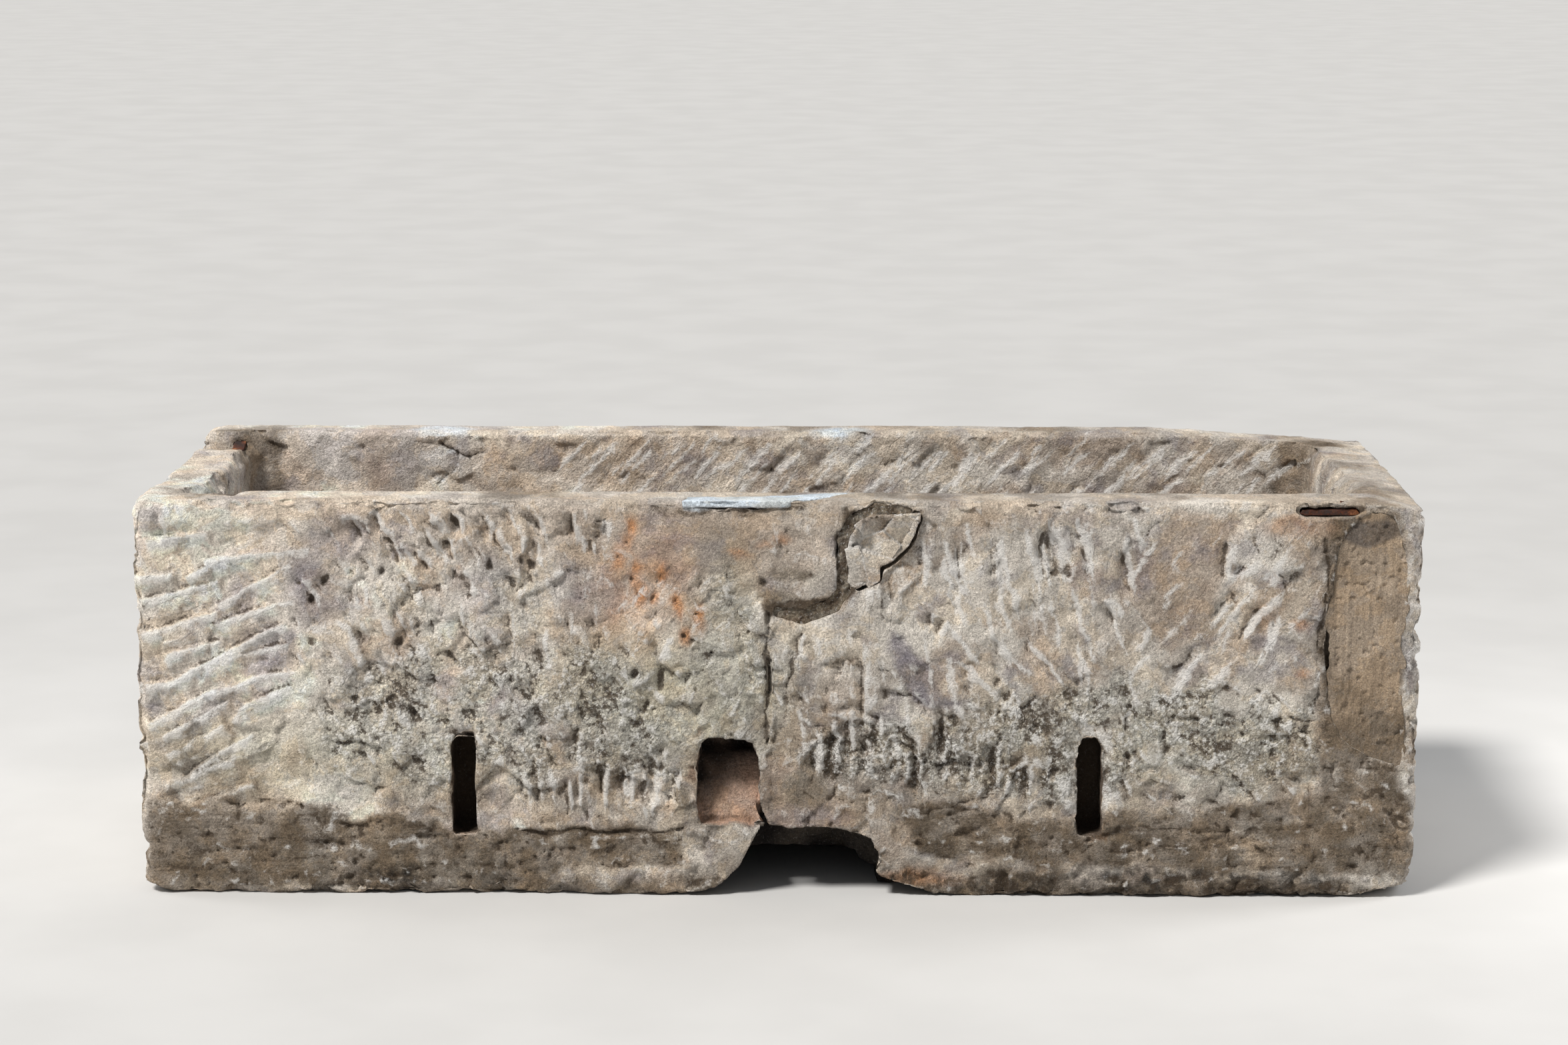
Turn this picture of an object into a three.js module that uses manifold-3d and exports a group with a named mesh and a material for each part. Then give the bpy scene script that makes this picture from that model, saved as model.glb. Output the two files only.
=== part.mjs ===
// Marble trough: a long hollowed block of weathered marble with rough tool marks, two blind slots and a
// sloped outlet recess in the front, a broken notch under it, and old repairs in mortar, plaster and iron.
// Millimetres, +X to the right along the length, -Y towards the front, +Z up, origin under the middle.
import * as THREE from "three";
import { mergeVertices } from "three/addons/utils/BufferGeometryUtils.js";
import Module from "manifold-3d";

const wasm = await Module();
wasm.setup();

// Block
const LENGTH = 2100;
const DEPTH = 760;
const HEIGHT = 665;
const CORNER_WEAR = 14;
const RIM_WEAR = 12;
const BASE_WEAR = 10;
const LEFT_BASE_ROUND = 40;
const LEFT_RIM_ROUND = 25;
const FACE_WEATHERING = 9;

// Hollow
const FRONT_WALL = 95;
const BACK_WALL = 77;
const LEFT_WALL = 90;
const RIGHT_WALL = 110;
const FLOOR_THICKNESS = 150;
const WALL_TAPER = 20;
const HOLLOW_CORNER_RADIUS = 45;
const FLOOR_FILLET = 40;
const RIGHT_LIP_RADIUS = 48;
const LEFT_LIP_RADIUS = 26;
const LONG_LIP_RADIUS = 9;
const HOLLOW_WEATHERING = 3;

// Worn rim
const LEFT_RIM_DROP = 21;
const LEFT_RIM_DIP = 12;
const LEFT_RIM_STEP = 18;
const RIGHT_RIM_DROP = 15;
const RIGHT_RIM_SLOPE_WIDTH = 90;
const BACK_CORNER_DROP = 28;
const BACK_CORNER_SLOPE_LENGTH = 400;
const BACK_CORNER_SLOPE_DEPTH = 560;

// Slots in the front
const SLOT_OFFSET = 514;
const SLOT_WIDTH = 38;
const SLOT_BOTTOM = 103;
const SLOT_TOP = 268;
const SLOT_DEPTH = 82;

// Outlet recess in the front
const RECESS_CENTRE = -79;
const RECESS_WIDTH = 98;
const RECESS_BOTTOM = 121;
const RECESS_TOP = 266;
const RECESS_SILL_DEPTH = 28;
const RECESS_HOLE_DEPTH = 88;
const RECESS_HOLE_BOTTOM = 226;
const CRACK_WIDTH = 7;
const CRACK_DEPTH = 70;

// Broken notch under the front
const NOTCH_CENTRE = 30;
const NOTCH_FOOT_WIDTH = 290;
const NOTCH_TOP = 118;
const NOTCH_LIP_DEPTH = 70;
const NOTCH_INNER_TOP = 66;
const NOTCH_INNER_DEPTH = 290;

// Joint and tool marks
const JOINT_TOP = 480;
const JOINT_WIDTH = 8;
const JOINT_DEPTH = 14;
const STROKE_WIDTH = 21;
const STROKE_DEPTH = 11;
const EDGE_NICK_PITCH = 50;

// Repairs
const CLEARANCE = 0.3;
const FILL_WIDTH = 118;
const FILL_FROM_END = 28;
const FILL_BOTTOM = 228;
const FILL_BELOW_RIM = 24;
const FILL_DEPTH = 36;
const FILL_CHANNEL = 10;
const PATCH_LEFT = -150;
const PATCH_RIGHT = 112;
const PATCH_THICKNESS = 13;
const FRAGMENT_LEFT = 117;
const FRAGMENT_WIDTH = 118;
const FRAGMENT_HEIGHT = 127;
const FRAGMENT_BELOW_RIM = 20;
const FRAGMENT_DEPTH = 45;
const FRAGMENT_CRACK = 5;
const BED_DEPTH = 30;
const BED_SETBACK = 6;
const BED_WIDTH = 17;

// Iron
const CRAMP_LENGTH = 100;
const CRAMP_HEIGHT = 11;
const CRAMP_REACH = 34;
const CRAMP_SETBACK = 9;
const CRAMP_FROM_END = 105;
const CRAMP_BELOW_RIM = 24;
const CRAMP_SLOT_LENGTH = 120;
const CRAMP_SLOT_HEIGHT = 15;
const TANG_SIZE = 8;
const TANG_FROM_END = 135;
const TANG_SETBACK = 18;
const STRAP_LENGTH = 92;
const STRAP_WIDTH = 22;
const STRAP_THICKNESS = 6;
const STRAP_FROM_LEFT = 58;

const FRONT = -DEPTH / 2;
const BACK = DEPTH / 2;
const LEFT = -LENGTH / 2;
const RIGHT = LENGTH / 2;
const OUTSIDE = 30;

// Repeatable pseudo random number from 0 to 1 for a whole number key
function chance(key) {
  const wave = Math.sin(key * 127.1 + 311.7) * 43758.5453;
  return wave - Math.floor(wave);
}

// Smooth noise from -1 to 1 in three dimensions, with cells of one unit
function smoothNoise(x, y, z) {
  const cell = [Math.floor(x), Math.floor(y), Math.floor(z)];
  const ease = [x - cell[0], y - cell[1], z - cell[2]].map((t) => t * t * (3 - 2 * t));
  let sum = 0;
  for (let corner = 0; corner < 8; corner++) {
    const step = [corner & 1, (corner >> 1) & 1, corner >> 2];
    const weight = step.reduce((w, s, axis) => w * (s ? ease[axis] : 1 - ease[axis]), 1);
    const key = (cell[0] + step[0]) * 57 + (cell[1] + step[1]) * 131 + (cell[2] + step[2]) * 17;
    sum += weight * chance(key);
  }
  return sum * 2 - 1;
}

// How far weathering has eaten into a face at a place, never out of the block's own planes
function weathering(x, y, z, amount) {
  const broad = smoothNoise(x / 190, y / 190 + 5, z / 150);
  const local = smoothNoise(x / 70 + 9, y / 70, z / 70 + 3);
  return amount * Math.max(0, 0.7 * broad + 0.5 * local);
}

// How far a quarter round of the given radius draws in at a distance from the edge
function roundInset(radius, distance) {
  if (distance >= radius) return 0;
  return radius - Math.sqrt(radius * radius - (radius - distance) ** 2);
}

// Closed body through level rings of points, with a flat cap on the first and last ring
function loft(rings) {
  const count = rings[0].length;
  const faces = [];
  for (let level = 0; level + 1 < rings.length; level++) {
    for (let i = 0; i < count; i++) {
      const next = (i + 1) % count;
      const low = level * count;
      const high = low + count;
      faces.push(low + i, low + next, high + next, low + i, high + next, high + i);
    }
  }
  const capFaces = (ring) => {
    const flat = ring.map(([x, y]) => new THREE.Vector2(x, y));
    return THREE.ShapeUtils.triangulateShape(flat, []);
  };
  const top = (rings.length - 1) * count;
  for (const [a, b, c] of capFaces(rings[0])) faces.push(a, c, b);
  for (const [a, b, c] of capFaces(rings[rings.length - 1])) faces.push(top + a, top + b, top + c);
  const geometry = new THREE.BufferGeometry();
  geometry.setAttribute("position", new THREE.Float32BufferAttribute(rings.flat(2), 3));
  geometry.setIndex(faces);
  return geometry;
}

// Solid for joining and cutting from a closed geometry
function solid(geometry) {
  const bare = geometry.clone();
  bare.deleteAttribute("normal");
  bare.deleteAttribute("uv");
  const merged = mergeVertices(bare, 1e-4);
  const vertProperties = new Float32Array(merged.getAttribute("position").array);
  const triVerts = new Uint32Array(merged.index.array);
  return new wasm.Manifold(new wasm.Mesh({ numProp: 3, vertProperties, triVerts }));
}

// Drawable geometry from a solid
function surface(body) {
  const mesh = body.getMesh();
  const geometry = new THREE.BufferGeometry();
  geometry.setAttribute("position", new THREE.BufferAttribute(new Float32Array(mesh.vertProperties), 3));
  geometry.setIndex(new THREE.BufferAttribute(new Uint32Array(mesh.triVerts), 1));
  geometry.computeVertexNormals();
  return geometry;
}

// Prism over a flat outline, whose first and second coordinates and depth run along the given axes
function prism(outline, first, second, along, origin, length, bevel = 0) {
  const shape = new THREE.Shape(outline.map(([u, v]) => new THREE.Vector2(u, v)));
  const geometry = new THREE.ExtrudeGeometry(shape, {
    depth: length - 2 * bevel,
    bevelEnabled: bevel > 0,
    bevelThickness: bevel,
    bevelSize: bevel,
    bevelOffset: -bevel,
    bevelSegments: 1,
  });
  geometry.translate(0, 0, bevel);
  geometry.applyMatrix4(new THREE.Matrix4().makeBasis(first, second, along));
  return geometry.translate(origin.x, origin.y, origin.z);
}

const ALONG_X = new THREE.Vector3(1, 0, 0);
const ALONG_Y = new THREE.Vector3(0, 1, 0);
const ALONG_Z = new THREE.Vector3(0, 0, 1);
const TO_FRONT = new THREE.Vector3(0, -1, 0);

// Prism over an outline in length and height, between two distances behind the front face
function frontPrism(outline, from, to, bevel = 0) {
  return prism(outline, ALONG_X, ALONG_Z, TO_FRONT, new THREE.Vector3(0, FRONT + to, 0), to - from, bevel);
}

// Prism over an outline in length and depth, between two heights
function levelPrism(outline, bottom, top) {
  return prism(outline, ALONG_X, ALONG_Y, ALONG_Z, new THREE.Vector3(0, 0, bottom), top - bottom);
}

// Prism over an outline in depth and height, between two places along the length
function lengthPrism(outline, start, end) {
  return prism(outline, ALONG_Y, ALONG_Z, ALONG_X, new THREE.Vector3(start, 0, 0), end - start);
}

// Outline of a band of varying width along a path of [x, z, width]
function bandOutline(path) {
  const sides = [[], []];
  path.forEach(([x, z, width], i) => {
    const before = path[Math.max(i - 1, 0)];
    const after = path[Math.min(i + 1, path.length - 1)];
    const along = new THREE.Vector2(after[0] - before[0], after[1] - before[1]).normalize();
    sides[0].push([x + (along.y * width) / 2, z - (along.x * width) / 2]);
    sides[1].unshift([x - (along.y * width) / 2, z + (along.x * width) / 2]);
  });
  return [...sides[0], ...sides[1]];
}

// Outline moved outward by a distance, for the pocket that a piece sits in
function grown(outline, distance) {
  const turn = THREE.ShapeUtils.area(outline.map(([x, y]) => new THREE.Vector2(x, y))) > 0 ? 1 : -1;
  return outline.map(([x, y], i) => {
    const [bx, by] = outline[(i + outline.length - 1) % outline.length];
    const [ax, ay] = outline[(i + 1) % outline.length];
    const arriving = new THREE.Vector2(x - bx, y - by).normalize();
    const leaving = new THREE.Vector2(ax - x, ay - y).normalize();
    const sum = new THREE.Vector2(arriving.y + leaving.y, -arriving.x - leaving.x);
    const reach = (distance * turn * 2) / Math.max(sum.lengthSq(), 0.5);
    return [x + sum.x * reach, y + sum.y * reach];
  });
}

// Closed outline rounded into a smooth curve through the same places
function softened(outline, count) {
  const places = outline.map(([x, y]) => new THREE.Vector3(x, y, 0));
  const curve = new THREE.CatmullRomCurve3(places, true, "catmullrom", 0.3);
  return curve.getPoints(count).slice(0, -1).map((p) => [p.x, p.y]);
}

// Pointed furrow between two places on a face, deepest at a share of its length
function gouge(start, end, width, depth, outward, deepest = 0.5) {
  const middle = start.clone().lerp(end, deepest);
  const along = end.clone().sub(start).normalize();
  const side = along.clone().cross(outward).multiplyScalar(width / 2);
  const rim = [
    middle.clone().add(side),
    middle.clone().addScaledVector(outward, -depth),
    middle.clone().sub(side),
    middle.clone().addScaledVector(outward, OUTSIDE),
  ];
  const faces = [];
  for (let i = 0; i < 4; i++) {
    const next = 2 + ((i + 1) % 4);
    faces.push(2 + i, next, 1, next, 2 + i, 0);
  }
  const geometry = new THREE.BufferGeometry().setFromPoints([start, end, ...rim]);
  geometry.setIndex(faces);
  return solid(geometry);
}

// Evenly spaced whole steps from one value to another, both ends included
function steps(from, to, count) {
  return Array.from({ length: count + 1 }, (_, i) => from + ((to - from) * i) / count);
}

// One level ring of the outer block
function blockRing(z) {
  const rim = roundInset(RIM_WEAR, HEIGHT - z);
  const base = roundInset(BASE_WEAR, z);
  const leftRound = roundInset(LEFT_RIM_ROUND, HEIGHT - z) + roundInset(LEFT_BASE_ROUND, z);
  const x0 = LEFT + leftRound;
  const x1 = RIGHT - rim - base;
  const y0 = FRONT + rim + base;
  const y1 = BACK - rim - base;
  const ring = [];
  const side = (from, to, inward, count) => {
    for (const t of steps(0, 1, count)) {
      const x = from[0] + (to[0] - from[0]) * t;
      const y = from[1] + (to[1] - from[1]) * t;
      const eaten = weathering(x, y, z, FACE_WEATHERING);
      ring.push([x + inward[0] * eaten, y + inward[1] * eaten, z]);
    }
  };
  const c = CORNER_WEAR;
  side([x0 + c, y0], [x1 - c, y0], [0, 1], 24);
  side([x1, y0 + c], [x1, y1 - c], [-1, 0], 7);
  side([x1 - c, y1], [x0 + c, y1], [0, -1], 20);
  side([x0, y1 - c], [x0, y0 + c], [1, 0], 7);
  return ring;
}

// The whole block before it is hollowed
function outerBlock() {
  const foot = [0, 0.15, 0.4].map((share) => share * LEFT_BASE_ROUND);
  const head = [0.5, 0.16, 0].map((share) => HEIGHT - share * LEFT_RIM_ROUND);
  const middle = steps(LEFT_BASE_ROUND, HEIGHT - LEFT_RIM_ROUND, 8);
  return solid(loft([...foot, ...middle, ...head].map(blockRing)));
}

// How much thicker a wall of the hollow is at a height than at the rim
function taperAt(z) {
  return (WALL_TAPER * Math.max(0, HEIGHT - z)) / (HEIGHT - FLOOR_THICKNESS);
}

// One level ring of the hollow, with rounded corners, a filleted floor and worn lips
function hollowRing(z) {
  const fillet = roundInset(FLOOR_FILLET, z - FLOOR_THICKNESS);
  const inset = taperAt(z) + fillet;
  const lip = (radius, rimHeight) => roundInset(radius, Math.max(0, rimHeight - z));
  const x0 = LEFT + LEFT_WALL + inset - lip(LEFT_LIP_RADIUS, HEIGHT - LEFT_RIM_DROP);
  const x1 = RIGHT - RIGHT_WALL - inset + lip(RIGHT_LIP_RADIUS, HEIGHT);
  const y0 = FRONT + FRONT_WALL + inset - lip(LONG_LIP_RADIUS, HEIGHT);
  const y1 = BACK - BACK_WALL - inset + lip(LONG_LIP_RADIUS, HEIGHT);
  const radius = HOLLOW_CORNER_RADIUS - 0.8 * Math.min(fillet, HOLLOW_CORNER_RADIUS);
  const ring = [];
  const place = (x, y, outX, outY) => {
    const worn = HOLLOW_WEATHERING * smoothNoise(x / 120, y / 120 + 20, z / 110);
    ring.push([x + outX * worn, y + outY * worn, z]);
  };
  const corners = [
    [x1 - radius, y0 + radius, -Math.PI / 2, 6],
    [x1 - radius, y1 - radius, 0, 18],
    [x0 + radius, y1 - radius, Math.PI / 2, 6],
    [x0 + radius, y0 + radius, Math.PI, 18],
  ];
  corners.forEach(([cx, cy, startAngle, count], i) => {
    for (const angle of steps(startAngle, startAngle + Math.PI / 2, 3)) {
      place(cx + radius * Math.cos(angle), cy + radius * Math.sin(angle), Math.cos(angle), Math.sin(angle));
    }
    const endAngle = startAngle + Math.PI / 2;
    const [nextX, nextY] = corners[(i + 1) % 4];
    for (const t of steps(0, 1, count).slice(1, -1)) {
      const x = cx + (nextX - cx) * t + radius * Math.cos(endAngle);
      const y = cy + (nextY - cy) * t + radius * Math.sin(endAngle);
      place(x, y, Math.cos(endAngle), Math.sin(endAngle));
    }
  });
  return ring;
}

// The space inside the trough
function hollow() {
  const foot = [0, 0.2].map((share) => FLOOR_THICKNESS + share * FLOOR_FILLET);
  const wall = steps(FLOOR_THICKNESS + FLOOR_FILLET, HEIGHT - RIGHT_LIP_RADIUS, 4);
  const head = [0.55, 0.2, 0].map((share) => HEIGHT - share * RIGHT_LIP_RADIUS);
  return solid(loft([...foot, ...wall, ...head, HEIGHT + OUTSIDE].map(hollowRing)));
}

// Everything on the far side of a plane through three places, given anticlockwise seen from that side
function beyond(a, b, c) {
  const outward = b.clone().sub(a).cross(c.clone().sub(a)).normalize();
  const slab = new THREE.BoxGeometry(2 * LENGTH, 2 * LENGTH, LENGTH).translate(0, 0, LENGTH / 2);
  slab.applyQuaternion(new THREE.Quaternion().setFromUnitVectors(ALONG_Z, outward));
  return solid(slab.translate(a.x, a.y, a.z));
}

// What is worn away from the rim: the low left wall, the sloping right wall and the back right corner
function rimLosses() {
  const y0 = FRONT + CORNER_WEAR;
  const y1 = BACK - BACK_WALL - LEFT_RIM_STEP;
  const y = (share) => y0 + share * (y1 - y0);
  const low = HEIGHT - LEFT_RIM_DROP;
  const profile = [
    [y0, HEIGHT + 1],
    [y(0.17), HEIGHT - 0.25 * LEFT_RIM_DROP],
    [y(0.3), HEIGHT - 0.7 * LEFT_RIM_DROP],
    [y(0.43), low - 1],
    [y(0.52), low + 3],
    [y(0.64), low - 2],
    [y(0.86), low],
    [y(0.93), low - 0.4 * LEFT_RIM_DIP],
    [y(0.975), low - LEFT_RIM_DIP],
    [y1, low - LEFT_RIM_DIP],
    [y1 + 7, HEIGHT + 1],
    [y1 + 7, HEIGHT + OUTSIDE],
    [y0, HEIGHT + OUTSIDE],
  ];
  const leftWall = solid(lengthPrism(profile, LEFT - OUTSIDE, LEFT + LEFT_WALL + LEFT_LIP_RADIUS));
  const place = (x, y, drop) => new THREE.Vector3(x, y, HEIGHT - drop);
  const rightSlope = beyond(
    place(RIGHT, FRONT, RIGHT_RIM_DROP),
    place(RIGHT, BACK, RIGHT_RIM_DROP * 1.4),
    place(RIGHT - RIGHT_RIM_SLOPE_WIDTH, FRONT, 0),
  );
  const backCorner = beyond(
    place(RIGHT, BACK, BACK_CORNER_DROP),
    place(RIGHT - BACK_CORNER_SLOPE_LENGTH, BACK, 0),
    place(RIGHT, BACK - BACK_CORNER_SLOPE_DEPTH, BACK_CORNER_DROP * 0.4),
  );
  return [leftWall, rightSlope, backCorner];
}

// A blind slot with a rounded head, cut in from the front
function slot(centre) {
  const half = SLOT_WIDTH / 2;
  const shoulder = SLOT_TOP - half * 0.7;
  const outline = [
    [centre - half, SLOT_BOTTOM],
    [centre + half + 3, SLOT_BOTTOM],
    [centre + half, SLOT_BOTTOM + 45],
    [centre + half, shoulder],
    [centre + half * 0.55, SLOT_TOP],
    [centre - half * 0.55, SLOT_TOP],
    [centre - half, shoulder],
  ];
  return solid(frontPrism(outline, -OUTSIDE, SLOT_DEPTH));
}

// The outlet recess: a low sill, a back plane that leans inward, and a deep hole at its head
function outletRecess() {
  const y = (behind) => FRONT + behind;
  const profile = [
    [y(-OUTSIDE), RECESS_BOTTOM - 2],
    [y(RECESS_SILL_DEPTH), RECESS_BOTTOM],
    [y(RECESS_HOLE_DEPTH - 16), RECESS_HOLE_BOTTOM],
    [y(RECESS_HOLE_DEPTH), RECESS_HOLE_BOTTOM + 4],
    [y(RECESS_HOLE_DEPTH), RECESS_TOP - 18],
    [y(RECESS_HOLE_DEPTH / 2), RECESS_TOP - 6],
    [y(0), RECESS_TOP],
    [y(-OUTSIDE), RECESS_TOP + 2],
  ];
  const half = RECESS_WIDTH / 2;
  return solid(lengthPrism(profile, RECESS_CENTRE - half, RECESS_CENTRE + half));
}

// The open crack beside the recess, which runs down into the notch
function openCrack() {
  const x = RECESS_CENTRE + RECESS_WIDTH / 2;
  const head = RECESS_HOLE_BOTTOM - 10;
  const path = [
    [x + 20, NOTCH_TOP - 14, CRACK_WIDTH * 1.5],
    [x + 5, RECESS_BOTTOM + 12, CRACK_WIDTH * 1.2],
    [x - 2, RECESS_BOTTOM + 35, CRACK_WIDTH],
    [x - 2, head, CRACK_WIDTH],
  ];
  return solid(frontPrism(bandOutline(path), -OUTSIDE, CRACK_DEPTH));
}

// The broken notch: a high lip through the front wall and a lower cave behind it
function bottomNotch() {
  const half = NOTCH_FOOT_WIDTH / 2;
  const at = (share, height) => [NOTCH_CENTRE + share * half, height * NOTCH_TOP];
  const lip = [
    [NOTCH_CENTRE - half * 1.14, -OUTSIDE],
    at(-1.14, 0.02), at(-0.9, 0.1), at(-0.76, 0.24), at(-0.62, 0.42), at(-0.52, 0.68), at(-0.38, 1),
    at(-0.1, 0.96), at(0.25, 0.99), at(0.55, 0.95), at(0.86, 0.83), at(0.95, 0.6), at(0.91, 0.33),
    at(1.17, 0.19), at(1.5, 0.05), at(1.65, 0.01),
    [NOTCH_CENTRE + half * 1.65, -OUTSIDE],
  ];
  const cave = [
    [NOTCH_CENTRE - half * 0.82, -OUTSIDE],
    [NOTCH_CENTRE - half * 0.82, NOTCH_INNER_TOP * 0.35],
    [NOTCH_CENTRE - half * 0.5, NOTCH_INNER_TOP * 0.95],
    [NOTCH_CENTRE + half * 0.1, NOTCH_INNER_TOP],
    [NOTCH_CENTRE + half * 0.7, NOTCH_INNER_TOP * 0.9],
    [NOTCH_CENTRE + half * 0.9, NOTCH_INNER_TOP * 0.4],
    [NOTCH_CENTRE + half * 0.9, -OUTSIDE],
  ];
  const lipCut = solid(frontPrism(lip, -OUTSIDE, NOTCH_LIP_DEPTH));
  const caveCut = solid(frontPrism(cave, NOTCH_LIP_DEPTH - 10, NOTCH_INNER_DEPTH));
  return [lipCut, caveCut];
}

// The old break: a thin sunken joint that climbs from the recess to the bed of the fragment
function jointLine() {
  const x = RECESS_CENTRE + RECESS_WIDTH / 2 + 18;
  const path = [
    [x - 2, RECESS_TOP - 10, JOINT_WIDTH],
    [x + 1, (RECESS_TOP + JOINT_TOP) / 2, JOINT_WIDTH],
    [x - 2, JOINT_TOP, JOINT_WIDTH],
  ];
  return solid(frontPrism(bandOutline(path), -OUTSIDE, JOINT_DEPTH));
}

// Rows of furrows on the front: first and last place, how many, length and slant in degrees
function frontRows() {
  const share = (x, z) => [x * LENGTH, z * HEIGHT];
  return [
    { from: share(-0.462, 0.26), to: share(-0.462, 0.79), count: 8, length: 118, slant: [15, 18] },
    { from: share(-0.405, 0.36), to: share(-0.402, 0.87), count: 6, length: 122, slant: [30, 33] },
    { from: share(-0.31, 0.93), to: share(-0.14, 0.93), count: 9, length: 48, slant: [-50, -86] },
    { from: share(-0.29, 0.86), to: share(-0.155, 0.87), count: 6, length: 44, slant: [-62, -84] },
    { from: share(-0.36, 0.74), to: share(-0.2, 0.78), count: 5, length: 36, slant: [-70, -110] },
    { from: share(0.11, 0.85), to: share(0.27, 0.83), count: 6, length: 96, slant: [-84, -78] },
    { from: share(0.14, 0.72), to: share(0.26, 0.71), count: 5, length: 74, slant: [-78, -72] },
    { from: share(0.345, 0.73), to: share(0.385, 0.67), count: 3, length: 84, slant: [56, 74] },
    { from: share(0.028, 0.37), to: share(0.21, 0.31), count: 10, length: 88, slant: [-88, -96] },
    { from: share(-0.196, 0.27), to: share(-0.079, 0.28), count: 7, length: 84, slant: [-86, -94] },
    { from: share(0.212, 0.87), to: share(0.218, 0.87), count: 2, length: 84, slant: [-70, -62] },
    { from: share(0.15, 0.17), to: share(0.36, 0.14), count: 3, length: 110, slant: [24, 8] },
    { from: share(-0.42, 0.12), to: share(-0.12, 0.155), count: 5, length: 130, slant: [-4, 3] },
  ];
}

// Furrows of one row, laid on a face by a function that gives the place of a point on it
function rowOfGouges(row, key, place, outward) {
  return steps(0, 1, row.count - 1).map((t, i) => {
    const seed = key * 31 + i * 7;
    const slant = THREE.MathUtils.lerp(row.slant[0], row.slant[1], t) + 8 * (chance(seed) - 0.5);
    const angle = THREE.MathUtils.degToRad(slant);
    const reach = (row.length / 2) * (0.8 + 0.4 * chance(seed + 1));
    const u = row.from[0] + (row.to[0] - row.from[0]) * t + 14 * (chance(seed + 2) - 0.5);
    const v = row.from[1] + (row.to[1] - row.from[1]) * t + 14 * (chance(seed + 3) - 0.5);
    const start = place(u - Math.cos(angle) * reach, v - Math.sin(angle) * reach);
    const end = place(u + Math.cos(angle) * reach, v + Math.sin(angle) * reach);
    const width = STROKE_WIDTH * (0.8 + 0.5 * chance(seed + 4));
    return gouge(start, end, width, STROKE_DEPTH, outward, 0.35 + 0.3 * chance(seed + 5));
  });
}

// Point on the weathered front, back or end face, from its place along the face and its height
function onFront(x, z) {
  return new THREE.Vector3(x, FRONT + weathering(x, FRONT, z, FACE_WEATHERING), z);
}
function onBack(x, z) {
  return new THREE.Vector3(x, BACK - weathering(x, BACK, z, FACE_WEATHERING), z);
}
function onRight(y, z) {
  return new THREE.Vector3(RIGHT - weathering(RIGHT, y, z, FACE_WEATHERING), y, z);
}
function onLeft(y, z) {
  return new THREE.Vector3(LEFT + weathering(LEFT, y, z, FACE_WEATHERING), y, z);
}
function onInnerBack(x, z) {
  return new THREE.Vector3(x, BACK - BACK_WALL - taperAt(z), z);
}

// All furrows of the chisel, on the front, the back, the ends and the inner back wall
function toolMarks() {
  const toRight = ALONG_X;
  const toLeft = ALONG_X.clone().negate();
  const band = (x, z) => [x * LENGTH, z * HEIGHT];
  const across = (y, z) => [y * DEPTH, z * HEIGHT];
  const marks = frontRows().flatMap((row, key) => rowOfGouges(row, key, onFront, TO_FRONT));
  const backRows = [0.78, 0.52, 0.27].map((z, i) => (
    { from: band(-0.42 + 0.03 * i, z), to: band(0.4 + 0.03 * i, z), count: 8, length: 150, slant: [38, 52] }
  ));
  backRows.forEach((row, i) => marks.push(...rowOfGouges(row, 40 + i, onBack, ALONG_Y)));
  const endRow = {
    from: across(0.05, 0.2), to: across(-0.04, 0.85), count: 6, length: 320, slant: [3, -4],
  };
  marks.push(...rowOfGouges(endRow, 50, onRight, toRight), ...rowOfGouges(endRow, 60, onLeft, toLeft));
  const innerTop = {
    from: band(-0.19, 0.915), to: band(0.435, 0.915), count: 21, length: 96, slant: [48, 42],
  };
  const innerLow = {
    from: band(-0.3, 0.7), to: band(0.4, 0.68), count: 10, length: 130, slant: [50, 44],
  };
  marks.push(...rowOfGouges(innerTop, 70, onInnerBack, TO_FRONT));
  marks.push(...rowOfGouges(innerLow, 80, onInnerBack, TO_FRONT));
  return marks;
}

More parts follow.
